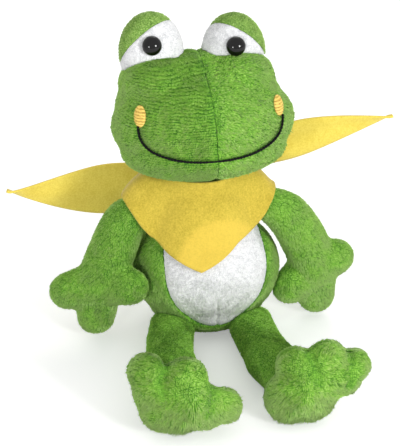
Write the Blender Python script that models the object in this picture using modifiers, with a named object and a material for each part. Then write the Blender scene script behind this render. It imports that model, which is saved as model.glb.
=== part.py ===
"""A sitting plush frog with a felt bandana, in metres, +Z up, facing -Y.

The origin is the centre of the flat face under the seat. Left and right are the frog's own, so the
left side lies at +X. Each soft form is a few swelling balls fused into one skin, with its stuffing
inside it, and every limb ends in a round root that turns in a socket of the larger form.
"""

import math

import bmesh
import bpy
from mathutils import Matrix, Vector
from mathutils.bvhtree import BVHTree

# Cloth, clearances and mesh sizes
SKIN = 0.0014
GAP = 0.0003
FELT = 0.0010
OVERRUN = 0.2
FILLING_GAP = 0.0009
FILLING_SHARE = 0.6
VOXEL = 0.0016
PATH_STEPS = 6
SWEEP_CLEARANCE = 0.0010
SOCKET_GAP = 0.0006
SOCKET_MESH_SHARE = 0.65
SWEEP_STEPS = 6
SWEEP_TRIANGLES = 320
OPENING_SHARE = 0.6
SIDES = {"left": 1.0, "right": -1.0}
HINGE_AXIS = Vector((-1.0, 0.0, 0.0))

# Torso
TORSO_HALF_WIDTH = 0.0325
TORSO_HALF_DEPTH = 0.0260
TORSO_LOW_HALF_HEIGHT = 0.0265
CHEST_HALF_WIDTH = 0.0235
CHEST_HALF_DEPTH = 0.0190
CHEST_HEIGHT = 0.0500
CHEST_HALF_HEIGHT = 0.0215
CHEST_SET_BACK = 0.0030
SEAT_HALF_WIDTH = 0.0230
SEAT_HALF_DEPTH = 0.0190
SEAT_HALF_HEIGHT = 0.0055
SEAT_CUT = 0.0005
HAUNCH_HALF_WIDTH = 0.0258
HAUNCH_HALF_DEPTH = 0.0236
HAUNCH_HALF_HEIGHT = 0.0105
TORSO_SMOOTHING = 4
TORSO_TRIANGLES = 404

# Belly panel, an oval let into the front of the torso
BELLY_HALF_WIDTH = 0.0219
BELLY_HALF_HEIGHT = 0.0265
BELLY_HEIGHT = 0.0360
BELLY_SIDESTEP = 0.0020
BELLY_SEGMENTS = 40

# Bean bag, low in the seat
BEAN_HALF_WIDTH = 0.0180
BEAN_HALF_DEPTH = 0.0120
BEAN_HALF_HEIGHT = 0.0095
BEAN_SET_BACK = 0.0050
BEAN_REST_HEIGHT = 0.0032

# Neck: a ball on the torso in a socket of the head
NECK_HEIGHT = 0.0770
NECK_SET_BACK = 0.0040
NECK_SIDESTEP = -0.0036
NECK_RADIUS = 0.0120
NECK_OPENING_DROP = 0.0050
NECK_THREAD_RADIUS = 0.0004
NECK_THREAD_SEGMENTS = (20, 5)
NECK_THREAD_TILT = math.radians(20)

# Head, measured from the neck pivot before the head is turned, tilted and raised
HEAD_TURN = math.radians(5)
HEAD_LEAN = math.radians(0)
HEAD_RAISE = math.radians(-10)
SEAM_LEAN = math.radians(-3)
FACE_SIDESTEP = 0.0015
SEAM_SIDESTEP = 0.0035
HEAD_SIDESTEP = 0.0007
SKULL_HALF_WIDTH = 0.0350
SKULL_HALF_DEPTH = 0.0210
SKULL_HALF_HEIGHT = 0.0240
SKULL_HEIGHT = 0.0235
BROW_OUT = 0.0165
BROW_HALF_WIDTH = 0.0160
BROW_HALF_DEPTH = 0.0165
BROW_HALF_HEIGHT = 0.0110
BROW_HEIGHT = 0.0352
MUZZLE_HALF_WIDTH = 0.0380
MUZZLE_HALF_DEPTH = 0.0220
MUZZLE_HALF_HEIGHT = 0.0215
MUZZLE_HEIGHT = 0.0195
MUZZLE_REACH = 0.0095
JAW_HALF_WIDTH = 0.0342
JAW_HALF_DEPTH = 0.0205
JAW_HALF_HEIGHT = 0.0130
JAW_HEIGHT = 0.0080
JAW_REACH = 0.0100
HEAD_SMOOTHING = 12
HEAD_TRIANGLES = 500

# Eye turrets, measured from the neck pivot like the head
TURRET_HALF_WIDTH = 0.0135
TURRET_HALF_DEPTH = 0.0100
TURRET_HALF_HEIGHT = 0.0170
TURRET_HEIGHT = {"left": 0.0449, "right": 0.0474}
TURRET_OUT = 0.0172
TURRET_SIDESTEP = -0.0012
TURRET_SET_BACK = 0.0005
LID_OFFSET = 0.0043
LID_NORMAL_SHARES = (0.50, 0.55, 0.67)

# Safety eyes
EYE_RADIUS = 0.0040
EYE_DOME = 0.0030
EYE_POST_RADIUS = 0.0014
EYE_POST_LENGTH = 0.0065
EYE_SIDESTEP = -0.0008
EYE_RISE = 0.0048
WASHER_RADIUS = 0.0042
WASHER_THICKNESS = 0.0010
WASHER_SEAT = 0.0026
EYE_SEGMENTS = 18
DOME_STEPS = 5

# Smile and cheek dots, measured from the neck pivot like the head
SMILE_HALF_WIDTH = 0.0293
SMILE_END_HEIGHT = 0.0232
SMILE_DEPTH = 0.0150
SMILE_FULLNESS = 2.5
SMILE_POINTS = 25
THREAD_RADIUS = 0.0005
DOT_HALF_WIDTH = 0.0026
DOT_HALF_HEIGHT = 0.0045
DOT_HALF_THICKNESS = 0.0011
DOT_OUT = 0.0285
DOT_HEIGHT = 0.0270

# Arms. Paths and lobes are shares of the arm's length, from the shoulder pivot
SHOULDER_OUT = 0.0235
SHOULDER_HEIGHT = 0.0570
SHOULDER_SET_BACK = 0.0010
ARM_ROOT_RADIUS = 0.0065
ARM_RADIUS = 0.0102
ARM_LENGTH = 0.0390
FINGER_RADIUS = 0.0084
HAND_FLATNESS_SHARE = 0.80
LIMB_SMOOTHING = 3
ARM_TRIANGLES = 216
ARM_PATH_SHARES = {
    "left": ((0.00, 0.00, 0.00), (0.26, -0.06, -0.14), (0.455, -0.09, -0.44), (0.60, -0.10, -0.80)),
    "right": ((0.00, 0.00, 0.00), (-0.30, -0.08, -0.13), (-0.48, -0.20, -0.45), (-0.62, -0.31, -0.76)),
}
ARM_RADIUS_SHARES = (0.64, 0.93, 1.0, 1.0)
ARM_SWING = {
    "left": (math.radians(-20), math.radians(60)),
    "right": (math.radians(-3), math.radians(60)),
}
FINGER_SHARES = {
    "left": ((0.83, -0.10, -0.70), (0.63, -0.10, -1.20), (0.32, -0.17, -1.02)),
    "right": ((-0.97, -0.31, -0.86), (-0.68, -0.33, -1.19), (-0.30, -0.47, -0.74)),
}

# Legs and feet. Leg paths are shares of the leg's length, from the hip pivot
HIP_OUT = 0.0165
HIP_HEIGHT = 0.0072
HIP_REACH = 0.0150
LEG_ROOT_RADIUS = 0.0065
LEG_ROOT_HALF_WIDTH = 0.0102
LEG_RADIUS = 0.0112
LEG_LENGTH = 0.0530
ANKLE_RADIUS = 0.0092
LEG_FLATNESS_SHARE = 0.78
LEG_RADIUS_SHARES = (0.58, 0.73, 1.0, 0.82)
LEG_TRIANGLES = 138
LEG_SWING = (math.radians(-45), math.radians(6))
LEG_PATH_SHARES = {
    "left": ((0.00, 0.00, 0.00), (0.035, -0.31, 0.02), (0.105, -0.66, 0.04), (0.20, -1.01, 0.07)),
    "right": ((0.00, 0.00, 0.00), (-0.05, -0.32, 0.03), (-0.07, -0.70, 0.07), (-0.075, -1.09, 0.11)),
}
FOOT_LENGTH = 0.0360
FOOT_HALF_THICKNESS = 0.0072
FOOT_REACH = 0.0100
FOOT_RAISE = math.radians(-15)
FOOT_TIP = (math.radians(-15), math.radians(15))
FOOT_SMOOTHING = 5
FOOT_TRIANGLES = 200
# Each lobe: place to the right, place up, radius
FOOT_LOBE_SHARES = {
    "left": (
        (-0.045, -0.05, 0.315),
        (0.15, 0.0, 0.36),
        (0.02, 0.31, 0.24),
        (0.38, 0.36, 0.25),
        (0.52, 0.18, 0.255),
        (0.69, 0.305, 0.185),
    ),
    "right": (
        (-0.10, -0.03, 0.335),
        (0.02, -0.02, 0.37),
        (-0.22, 0.12, 0.26),
        (-0.30, 0.355, 0.23),
        (0.12, 0.24, 0.275),
        (0.30, -0.08, 0.28),
        (0.54, -0.075, 0.21),
    ),
}

# Bandana: a collar round the neck whose hem falls to a point on the belly, a knot and two tails
COLLAR_TOP_RADIUS = 0.0152
COLLAR_TOP_HEIGHT = 0.0738
COLLAR_BACK_HEIGHT = 0.0615
COLLAR_SIDE_RADIUS = 0.0335
COLLAR_SIDE_HEIGHT = 0.0635
COLLAR_TIP_HEIGHT = 0.0385
COLLAR_SIDESTEP = -0.0035
COLLAR_TIP_SIDESTEP = -0.0020
COLLAR_HEM_SLOPE_SHARE = 0.36
COLLAR_HEM_CURVE = 7
COLLAR_CROWN = 0.0045
COLLAR_BACK_CURVE = 3
COLLAR_CLEARANCE = 0.0015
COLLAR_COLUMNS = 32
COLLAR_ROWS = 5
COLLAR_EASE_SHARE = 0.5
COLLAR_OPEN_ANGLE = math.radians(18)
COLLAR_CORNER_ANGLE = math.radians(78)
KNOT_RADIUS = 0.0068
KNOT_LOBE_SHARES = (0.33, 0.0, 0.20)
KNOT_WRAP_SHARES = (0.60, 0.80, 0.98)
KNOT_SMOOTHING = 1
KNOT_TRIANGLES = 200
KNOT_HEIGHT = 0.0600
KNOT_SET_BACK = 0.0258
TAIL_LENGTH = 0.0800
TAIL_HALF_WIDTH = {"left": 0.0100, "right": 0.0130}
TAIL_ROOT_SHARE = 0.30
TAIL_SWELL_SHARE = 0.55
TAIL_TAPER_SHARE = 0.32
TAIL_POINT_POWER = 0.8
TAIL_TWIST_SHARE = 0.4
TAIL_RISE = {"left": math.radians(15.5), "right": math.radians(-4)}
TAIL_SAG = {"left": 0.0000, "right": 0.0062}
TAIL_CURL = 0.0045
TAIL_COLUMNS = 12
TAIL_ROWS = 2

GREEN = (0.130, 0.350, 0.045)
WHITE = (0.780, 0.790, 0.800)
YELLOW = (0.690, 0.520, 0.080)
DOT_YELLOW = (0.850, 0.560, 0.080)
BLACK = (0.010, 0.010, 0.011)
FIBRE = (0.800, 0.800, 0.780)
CANVAS = (0.520, 0.490, 0.420)
CLEAR_PLASTIC = (0.700, 0.700, 0.680)
CLOTH_ROUGHNESS = 0.9
THREAD_ROUGHNESS = 0.6
DOT_ROUGHNESS = 0.5
WASHER_ROUGHNESS = 0.4
EYE_ROUGHNESS = 0.08


def clear_scene():
    """Remove every object that the file opened with."""
    for old in list(bpy.data.objects):
        bpy.data.objects.remove(old, do_unlink=True)


def new_collection(name):
    """Add a collection to the scene."""
    made = bpy.data.collections.new(name)
    bpy.context.scene.collection.children.link(made)
    return made


def new_material(name, colour, roughness):
    """Make a plain Principled material."""
    made = bpy.data.materials.new(name)
    made.use_nodes = True
    shader = made.node_tree.nodes["Principled BSDF"]
    shader.inputs["Base Color"].default_value = (*colour, 1.0)
    shader.inputs["Roughness"].default_value = roughness
    shader.inputs["Metallic"].default_value = 0.0
    made.diffuse_color = (*colour, 1.0)
    return made


class Bench:
    """The collections and materials that the pieces share."""

    def __init__(self):
        self.parts = new_collection("plush_frog")
        self.cutters = new_collection("cutters")
        self.cutters.hide_render = True
        self.finishes = {}

    def finish(self, name, colour, roughness=CLOTH_ROUGHNESS):
        """Return the named material, made on first use."""
        if name not in self.finishes:
            self.finishes[name] = new_material(name, colour, roughness)
        return self.finishes[name]

    def part(self, name, mesh, finish, pivot=None):
        """Add a piece whose origin is its pivot, and return it."""
        mesh.name = name
        mesh.materials.clear()
        mesh.materials.append(finish)
        made = bpy.data.objects.new(name, mesh)
        if pivot is not None:
            mesh.transform(Matrix.Translation(-pivot))
            made.location = pivot
        mesh.shade_smooth()
        self.parts.objects.link(made)
        return made

    def cutter(self, name, mesh):
        """Add a tool shape that renders leave out."""
        made = bpy.data.objects.new(name, mesh)
        made.hide_render = True
        made.display_type = "WIRE"
        self.cutters.objects.link(made)
        return made


def mesh_of(bm):
    """Turn a bmesh into a mesh and free it."""
    bmesh.ops.recalc_face_normals(bm, faces=bm.faces)
    mesh = bpy.data.meshes.new("shape")
    bm.to_mesh(mesh)
    bm.free()
    return mesh


def add_ball(bm, centre, radii, rounds=3):
    """Add an ellipsoid to a bmesh."""
    place = Matrix.Translation(centre) @ Matrix.Diagonal((*radii, 1.0))
    bmesh.ops.create_icosphere(bm, subdivisions=rounds, radius=1.0, matrix=place)


def ball_mesh(centre, radii, rounds=3):
    """Make one ellipsoid."""
    bm = bmesh.new()
    add_ball(bm, centre, radii, rounds)
    return mesh_of(bm)


def sphere_mesh(centre, radius, rounds=3):
    """Make one sphere."""
    return ball_mesh(centre, (radius, radius, radius), rounds)


def cylinder_mesh(radii, half_length, place, segments):
    """Make an oval cylinder along local Z, set by a matrix."""
    bm = bmesh.new()
    size = Matrix.Diagonal((radii[0], radii[1], 2.0 * half_length, 1.0))
    bmesh.ops.create_cone(
        bm, cap_ends=True, segments=segments, radius1=1.0, radius2=1.0, depth=1.0, matrix=place @ size
    )
    return mesh_of(bm)


def about(pivot, axis, angle):
    """A turn about an axis through a pivot, as a matrix."""
    return Matrix.Translation(pivot) @ Matrix.Rotation(angle, 4, axis) @ Matrix.Translation(-pivot)


def half_space_mesh(point, normal):
    """Make a box that fills the side of a plane that its normal points to."""
    bm = bmesh.new()
    turn = Vector(normal).to_track_quat("Z", "Y").to_matrix().to_4x4()
    centre = Vector(point) + Vector(normal).normalized() * OVERRUN / 2.0
    size = Matrix.Diagonal((OVERRUN, OVERRUN, OVERRUN, 1.0))
    bmesh.ops.create_cube(bm, size=1.0, matrix=Matrix.Translation(centre) @ turn @ size)
    return mesh_of(bm)


def evaluated(mesh, *modifiers):
    """Run modifiers, given as a type and its settings, over a mesh and return the result."""
    scratch = bpy.data.objects.new("scratch", mesh)
    bpy.context.scene.collection.objects.link(scratch)
    for kind, settings in modifiers:
        modifier = scratch.modifiers.new(kind, kind)
        for key, value in settings.items():
            setattr(modifier, key, value)
    graph = bpy.context.evaluated_depsgraph_get()
    result = bpy.data.meshes.new_from_object(scratch.evaluated_get(graph))
    bpy.data.objects.remove(scratch, do_unlink=True)
    return result


def filling_of(mesh):
    """Make the stuffing inside a form: drawn in from its skin, with fewer triangles."""
    drawn_in = swollen(mesh, -SKIN - FILLING_GAP)
    return evaluated(drawn_in, ("DECIMATE", {"ratio": FILLING_SHARE}))


def triangles_in(mesh):
    """Count a mesh's triangles."""
    mesh.calc_loop_triangles()
    return len(mesh.loop_triangles)


def fused(balls, triangles, smoothing, voxel=VOXEL):
    """Fuse ellipsoids, each a centre and its radii, into one smooth closed form."""
    bm = bmesh.new()
    for centre, radii in balls:
        add_ball(bm, centre, radii)
    lump = evaluated(
        mesh_of(bm),
        ("REMESH", {"mode": "VOXEL", "voxel_size": voxel}),
        ("SMOOTH", {"iterations": smoothing}),
    )
    ratio = min(1.0, triangles / triangles_in(lump))
    return evaluated(lump, ("TRIANGULATE", {}), ("DECIMATE", {"ratio": ratio}))


def swollen(mesh, distance):
    """Copy a closed mesh with its surface moved out along its normals."""
    copy = mesh.copy()
    bm = bmesh.new()
    bm.from_mesh(copy)
    bm.normal_update()
    moves = [vert.normal * distance for vert in bm.verts]
    for vert, move in zip(bm.verts, moves):
        vert.co += move
    bm.to_mesh(copy)
    bm.free()
    return copy


def swept(mesh, pivot, axis, turns):
    """The room that a form takes, as a piece sees it that turns about an axis through a pivot."""
    grown = swollen(mesh, SWEEP_CLEARANCE)
    bm = bmesh.new()
    for step in range(SWEEP_STEPS + 1):
        angle = turns[0] + (turns[1] - turns[0]) * step / SWEEP_STEPS
        copy = grown.copy()
        copy.transform(about(pivot, axis, -angle))
        bm.from_mesh(copy)
    lump = evaluated(mesh_of(bm), ("REMESH", {"mode": "VOXEL", "voxel_size": VOXEL}))
    ratio = min(1.0, SWEEP_TRIANGLES / triangles_in(lump))
    return evaluated(lump, ("TRIANGULATE", {}), ("DECIMATE", {"ratio": ratio}))


def skin_of(mesh):
    """Give a closed form a wall of cloth on its inner side, which cuts then open."""
    return evaluated(mesh.copy(), ("SOLIDIFY", {"thickness": SKIN, "offset": -1.0}))


def cut(obj, *tools, operation="DIFFERENCE"):
    """Cut an object with tool shapes."""
    for tool in tools:
        modifier = obj.modifiers.new(tool.name, "BOOLEAN")
        modifier.operation = operation
        modifier.solver = "EXACT"
        modifier.object = tool


def smooth_path(points, steps):
    """Read a Catmull-Rom curve through points, and return places with a share along the points."""
    ends = [points[0], *points, points[-1]]
    found = []
    for index in range(len(points) - 1):
        a, b, c, d = ends[index : index + 4]
        for step in range(steps):
            t = step / steps
            place = 0.5 * (
                2.0 * b + (c - a) * t + (2.0 * a - 5.0 * b + 4.0 * c - d) * t**2
                + (3.0 * b - a - 3.0 * c + d) * t**3
            )
            found.append((place, index + t))
    found.append((points[-1], len(points) - 1.0))
    return found


def tube_balls(points, radii, flatness=1.0):
    """Return balls that follow a path and swell and taper with the radii given at its points."""
    balls = []
    for place, along in smooth_path(points, PATH_STEPS):
        low = min(int(along), len(radii) - 2)
        radius = radii[low] + (radii[low + 1] - radii[low]) * (along - low)
        balls.append((place, (radius, radius * flatness, radius)))
    return balls


def along(shares, length):
    """Scale a table row of shares to a vector."""
    return Vector(shares) * length


def neck_pivot():
    """The centre of the neck ball."""
    return Vector((NECK_SIDESTEP, NECK_SET_BACK, NECK_HEIGHT))


def shoulder_pivot(side):
    """The centre of an arm's root."""
    return Vector((SIDES[side] * SHOULDER_OUT, SHOULDER_SET_BACK, SHOULDER_HEIGHT))


def hip_pivot(side):
    """The centre of a leg's root."""
    return Vector((SIDES[side] * HIP_OUT, -HIP_REACH, HIP_HEIGHT))


def ankle_pivot(side):
    """The centre of a leg's far end, where the foot turns."""
    return hip_pivot(side) + along(LEG_PATH_SHARES[side][-1], LEG_LENGTH)


def knot_centre():
    """The middle of the bandana's knot, which both tails flap about."""
    return Vector((0.0, KNOT_SET_BACK, KNOT_HEIGHT))


def head_place():
    """The head's turn, lean and raise about the neck pivot, as a matrix."""
    turn = Matrix.Rotation(HEAD_TURN, 4, "Z")
    lean = Matrix.Rotation(HEAD_LEAN, 4, "Y")
    nod = Matrix.Rotation(HEAD_RAISE, 4, "X")
    return Matrix.Translation(neck_pivot()) @ turn @ lean @ nod


def torso_form():
    """The pear-shaped torso with its neck ball, before it is cut flat under the seat."""
    seat_centre = Vector((0.0, 0.0, SEAT_HALF_HEIGHT - SEAT_CUT))
    haunch_centre = Vector((0.0, 0.0, HAUNCH_HALF_HEIGHT))
    low_centre = Vector((0.0, 0.0, TORSO_LOW_HALF_HEIGHT))
    chest_centre = Vector((0.0, CHEST_SET_BACK, CHEST_HEIGHT))
    balls = [
        (seat_centre, (SEAT_HALF_WIDTH, SEAT_HALF_DEPTH, SEAT_HALF_HEIGHT)),
        (haunch_centre, (HAUNCH_HALF_WIDTH, HAUNCH_HALF_DEPTH, HAUNCH_HALF_HEIGHT)),
        (low_centre, (TORSO_HALF_WIDTH, TORSO_HALF_DEPTH, TORSO_LOW_HALF_HEIGHT)),
        (chest_centre, (CHEST_HALF_WIDTH, CHEST_HALF_DEPTH, CHEST_HALF_HEIGHT)),
        (neck_pivot(), (NECK_RADIUS, NECK_RADIUS, NECK_RADIUS)),
    ]
    return fused(balls, TORSO_TRIANGLES, TORSO_SMOOTHING)


def neck_thread_mesh(radius):
    """A ring low on the neck ball, of a given cord radius."""
    reach = NECK_RADIUS - NECK_THREAD_RADIUS
    ring_radius = reach * math.cos(NECK_THREAD_TILT)
    drop = reach * math.sin(NECK_THREAD_TILT)
    bpy.ops.mesh.primitive_torus_add(
        major_segments=NECK_THREAD_SEGMENTS[0],
        minor_segments=NECK_THREAD_SEGMENTS[1],
        major_radius=ring_radius,
        minor_radius=radius,
    )
    ring = bpy.context.object
    mesh = ring.data.copy()
    bpy.data.objects.remove(ring, do_unlink=True)
    mesh.transform(Matrix.Translation(neck_pivot() - Vector((0.0, 0.0, drop))))
    return mesh


def root_mesh(pivot, half_width, radius, gap):
    """The ball that a limb's root turns in, with a gap round the root."""
    ball = ball_mesh(pivot, (half_width + gap, radius + gap, radius + gap))
    return evaluated(ball, ("DECIMATE", {"ratio": SOCKET_MESH_SHARE}))


def build_torso(bench, form):
    """The torso's skin, belly panel, stuffing and bean bag."""
    plush = bench.finish("green_plush", GREEN)
    floor = bench.cutter("seat_plane", half_space_mesh((0.0, 0.0, 0.0), (0.0, 0.0, -1.0)))
    neck_top = neck_pivot() + Vector((0.0, 0.0, NECK_OPENING_DROP))
    neck_opening = bench.cutter("neck_opening", half_space_mesh(neck_top, (0.0, 0.0, 1.0)))
    groove = bench.cutter("neck_groove", neck_thread_mesh(NECK_THREAD_RADIUS + GAP))
    sockets = []
    for side in SIDES:
        shoulder = root_mesh(shoulder_pivot(side), ARM_ROOT_RADIUS, ARM_ROOT_RADIUS, SOCKET_GAP)
        sockets.append(bench.cutter(f"shoulder_socket_{side}", shoulder))
        hip = root_mesh(hip_pivot(side), LEG_ROOT_HALF_WIDTH, LEG_ROOT_RADIUS, SOCKET_GAP)
        sockets.append(bench.cutter(f"hip_socket_{side}", hip))
    forward = Matrix.Rotation(math.radians(90), 4, "X")
    middle = Vector((BELLY_SIDESTEP, -TORSO_HALF_DEPTH, BELLY_HEIGHT))
    place = Matrix.Translation(middle) @ forward
    panel_radii = (BELLY_HALF_WIDTH, BELLY_HALF_HEIGHT)
    window_radii = (BELLY_HALF_WIDTH + GAP, BELLY_HALF_HEIGHT + GAP)
    panel_shape = cylinder_mesh(panel_radii, TORSO_HALF_DEPTH, place, BELLY_SEGMENTS)
    panel_tool = bench.cutter("belly_outline", panel_shape)
    window_shape = cylinder_mesh(window_radii, TORSO_HALF_DEPTH, place, BELLY_SEGMENTS)
    window_tool = bench.cutter("belly_window", window_shape)

    skin = bench.part("torso_skin", skin_of(form), plush)
    cut(skin, floor, neck_opening, window_tool, groove, *sockets)
    panel = bench.part("belly_panel", skin_of(form), bench.finish("white_plush", WHITE))
    cut(panel, panel_tool, operation="INTERSECT")
    hips = [tool for tool in sockets if tool.name.startswith("hip")]
    cut(panel, *hips)

    bean_centre = Vector((0.0, BEAN_SET_BACK, BEAN_HALF_HEIGHT))
    bean_radii = (BEAN_HALF_WIDTH, BEAN_HALF_DEPTH, BEAN_HALF_HEIGHT)
    pocket_radii = tuple(radius + GAP for radius in bean_radii)
    pocket = bench.cutter("bean_pocket", ball_mesh(bean_centre, pocket_radii))
    bean_floor = Vector((0.0, 0.0, BEAN_REST_HEIGHT))
    bean_plane = bench.cutter("bean_floor", half_space_mesh(bean_floor, (0.0, 0.0, -1.0)))
    stuffing = bench.part("torso_stuffing", filling_of(form), bench.finish("fibre", FIBRE))
    cut(stuffing, neck_opening, pocket, groove, *sockets)
    beans = bench.part("bean_bag", ball_mesh(bean_centre, bean_radii), bench.finish("canvas", CANVAS))
    cut(beans, bean_plane)
    thread = bench.finish("black_thread", BLACK, THREAD_ROUGHNESS)
    bench.part("neck_thread", neck_thread_mesh(NECK_THREAD_RADIUS), thread, neck_pivot())


def head_form():
    """The wide-mouthed head, in its place."""
    skull_centre = Vector((HEAD_SIDESTEP, 0.0, SKULL_HEIGHT))
    muzzle_centre = Vector((HEAD_SIDESTEP, -MUZZLE_REACH, MUZZLE_HEIGHT))
    jaw_centre = Vector((HEAD_SIDESTEP, -JAW_REACH, JAW_HEIGHT))
    balls = [
        (skull_centre, (SKULL_HALF_WIDTH, SKULL_HALF_DEPTH, SKULL_HALF_HEIGHT)),
        (muzzle_centre, (MUZZLE_HALF_WIDTH, MUZZLE_HALF_DEPTH, MUZZLE_HALF_HEIGHT)),
        (jaw_centre, (JAW_HALF_WIDTH, JAW_HALF_DEPTH, JAW_HALF_HEIGHT)),
    ]
    brow_radii = (BROW_HALF_WIDTH, BROW_HALF_DEPTH, BROW_HALF_HEIGHT)
    for sign in SIDES.values():
        balls.append((Vector((sign * BROW_OUT, 0.0, BROW_HEIGHT)), brow_radii))
    form = fused(balls, HEAD_TRIANGLES, HEAD_SMOOTHING)
    form.transform(head_place())
    return form


def on_surface(tree, x, z):
    """The head's surface in front of a place given across and up from the neck pivot, with its normal."""
    place = head_place()
    start = place @ Vector((x, -OVERRUN, z))
    direction = place.to_3x3() @ Vector((0.0, 1.0, 0.0))
    hit, normal, _, _ = tree.ray_cast(start, direction)
    return hit, normal


def mesh_tree(mesh):
    """A search tree over a mesh's faces."""
    bm = bmesh.new()
    bm.from_mesh(mesh)
    tree = BVHTree.FromBMesh(bm)
    bm.free()
    return tree


def build_head(bench, form):
    """The two halves of the head's skin, and its stuffing."""
    plush = bench.finish("green_plush", GREEN)
    pivot = neck_pivot()
    socket = bench.cutter("neck_socket", sphere_mesh(pivot, NECK_RADIUS + SOCKET_GAP))
    seam_lean = Matrix.Rotation(SEAM_LEAN, 3, "Y")
    across = head_place().to_3x3() @ seam_lean @ Vector((1.0, 0.0, 0.0))
    for side, sign in SIDES.items():
        edge = pivot + across * (SEAM_SIDESTEP + sign * GAP / 2.0)
        tool = bench.cutter(f"seam_plane_{side}", half_space_mesh(edge, across * -sign))
        half = bench.part(f"head_skin_{side}", skin_of(form), plush, pivot)
        cut(half, tool, socket)
    stuffing = bench.part("head_stuffing", filling_of(form), bench.finish("fibre", FIBRE), pivot)
    cut(stuffing, socket)


def turret_centre(side):
    """The middle of an eye turret, in its place."""
    across = SIDES[side] * TURRET_OUT + TURRET_SIDESTEP
    return head_place() @ Vector((across, TURRET_SET_BACK, TURRET_HEIGHT[side]))


def turret_mesh(side, inset):
    """An eye turret's ellipsoid, drawn in by an inset."""
    radii = (TURRET_HALF_WIDTH - inset, TURRET_HALF_DEPTH - inset, TURRET_HALF_HEIGHT - inset)
    mesh = ball_mesh(Vector((0.0, 0.0, 0.0)), radii)
    mesh.transform(Matrix.Translation(turret_centre(side)) @ head_place().to_3x3().to_4x4())
    return mesh


def eye_place(side):
    """Where a safety eye sits on its turret, as a matrix whose Z points out of the face."""
    rise_share = EYE_RISE / TURRET_HALF_HEIGHT
    step_share = EYE_SIDESTEP / TURRET_HALF_WIDTH
    reach = TURRET_HALF_DEPTH * math.sqrt(1.0 - rise_share**2 - step_share**2)
    spot = Vector((EYE_SIDESTEP, -reach, EYE_RISE))
    squares = (TURRET_HALF_WIDTH**2, TURRET_HALF_DEPTH**2, TURRET_HALF_HEIGHT**2)
    outward = Vector([value / square for value, square in zip(spot, squares)]).normalized()
    local = Matrix.Translation(spot) @ outward.to_track_quat("Z", "Y").to_matrix().to_4x4()
    return Matrix.Translation(turret_centre(side)) @ head_place().to_3x3().to_4x4() @ local


def turned_mesh(profile, place):
    """Spin a profile of radius and height pairs round Z, and set it by a matrix."""
    bm = bmesh.new()
    verts = [bm.verts.new((radius, 0.0, height)) for radius, height in profile]
    edges = [bm.edges.new(pair) for pair in zip(verts, verts[1:])]
    bmesh.ops.spin(
        bm, geom=verts + edges, axis=(0.0, 0.0, 1.0), cent=(0.0, 0.0, 0.0),
        angle=math.tau, steps=EYE_SEGMENTS, use_merge=True,
    )
    bmesh.ops.remove_doubles(bm, verts=bm.verts, dist=GAP / 100.0)
    mesh = mesh_of(bm)
    mesh.transform(place)
    return mesh


def build_eye(bench, side, head_clearance):
    """One eye turret: lid, white, stuffing, safety eye and lock washer."""
    place = eye_place(side)
    pivot = neck_pivot()
    lid_shares = Vector(LID_NORMAL_SHARES)
    lid_shares.x *= SIDES[side]
    normal = (head_place().to_3x3() @ lid_shares).normalized()
    centre = turret_centre(side)
    white_side = bench.cutter(f"lid_plane_{side}", half_space_mesh(centre + normal * LID_OFFSET, -normal))
    lid_edge = centre + normal * (LID_OFFSET - GAP)
    lid_side = bench.cutter(f"white_plane_{side}", half_space_mesh(lid_edge, normal))

    post_hole_radius = EYE_POST_RADIUS + GAP
    hole_place = place @ Matrix.Translation((0.0, 0.0, -EYE_POST_LENGTH / 2.0))
    hole_radii = (post_hole_radius, post_hole_radius)
    hole_shape = cylinder_mesh(hole_radii, EYE_POST_LENGTH / 2.0 + GAP, hole_place, EYE_SEGMENTS)
    hole = bench.cutter(f"post_hole_{side}", hole_shape)
    pocket_depth = WASHER_SEAT + WASHER_THICKNESS + GAP
    pocket_radius = WASHER_RADIUS + GAP
    pocket_place = place @ Matrix.Translation((0.0, 0.0, -pocket_depth / 2.0))
    pocket_radii = (pocket_radius, pocket_radius)
    pocket_shape = cylinder_mesh(pocket_radii, pocket_depth / 2.0, pocket_place, EYE_SEGMENTS)
    pocket = bench.cutter(f"washer_pocket_{side}", pocket_shape)

    turret = turret_mesh(side, 0.0)
    lid = bench.part(f"eyelid_{side}", skin_of(turret), bench.finish("green_plush", GREEN), pivot)
    cut(lid, white_side, head_clearance)
    white = bench.part(f"eye_white_{side}", skin_of(turret), bench.finish("white_plush", WHITE), pivot)
    cut(white, lid_side, head_clearance, hole)
    inner = turret_mesh(side, SKIN + GAP)
    filling = bench.part(f"eye_stuffing_{side}", inner, bench.finish("fibre", FIBRE), pivot)
    cut(filling, head_clearance, pocket, hole)

    rises = [math.pi / 2.0 * step / DOME_STEPS for step in range(DOME_STEPS + 1)]
    dome = [(EYE_RADIUS * math.cos(rise), GAP + EYE_DOME * math.sin(rise)) for rise in rises]
    post = [(0.0, -EYE_POST_LENGTH), (EYE_POST_RADIUS, -EYE_POST_LENGTH), (EYE_POST_RADIUS, GAP)]
    glossy = bench.finish("black_plastic", BLACK, EYE_ROUGHNESS)
    bench.part(f"safety_eye_{side}", turned_mesh([*post, *dome], place), glossy, pivot)
    top = -WASHER_SEAT
    bottom = top - WASHER_THICKNESS
    bore = EYE_POST_RADIUS + GAP
    ring = [(bore, bottom), (WASHER_RADIUS, bottom), (WASHER_RADIUS, top), (bore, top), (bore, bottom)]
    moulded = bench.finish("washer_plastic", CLEAR_PLASTIC, WASHER_ROUGHNESS)
    bench.part(f"eye_washer_{side}", turned_mesh(ring, place), moulded, pivot)


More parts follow.
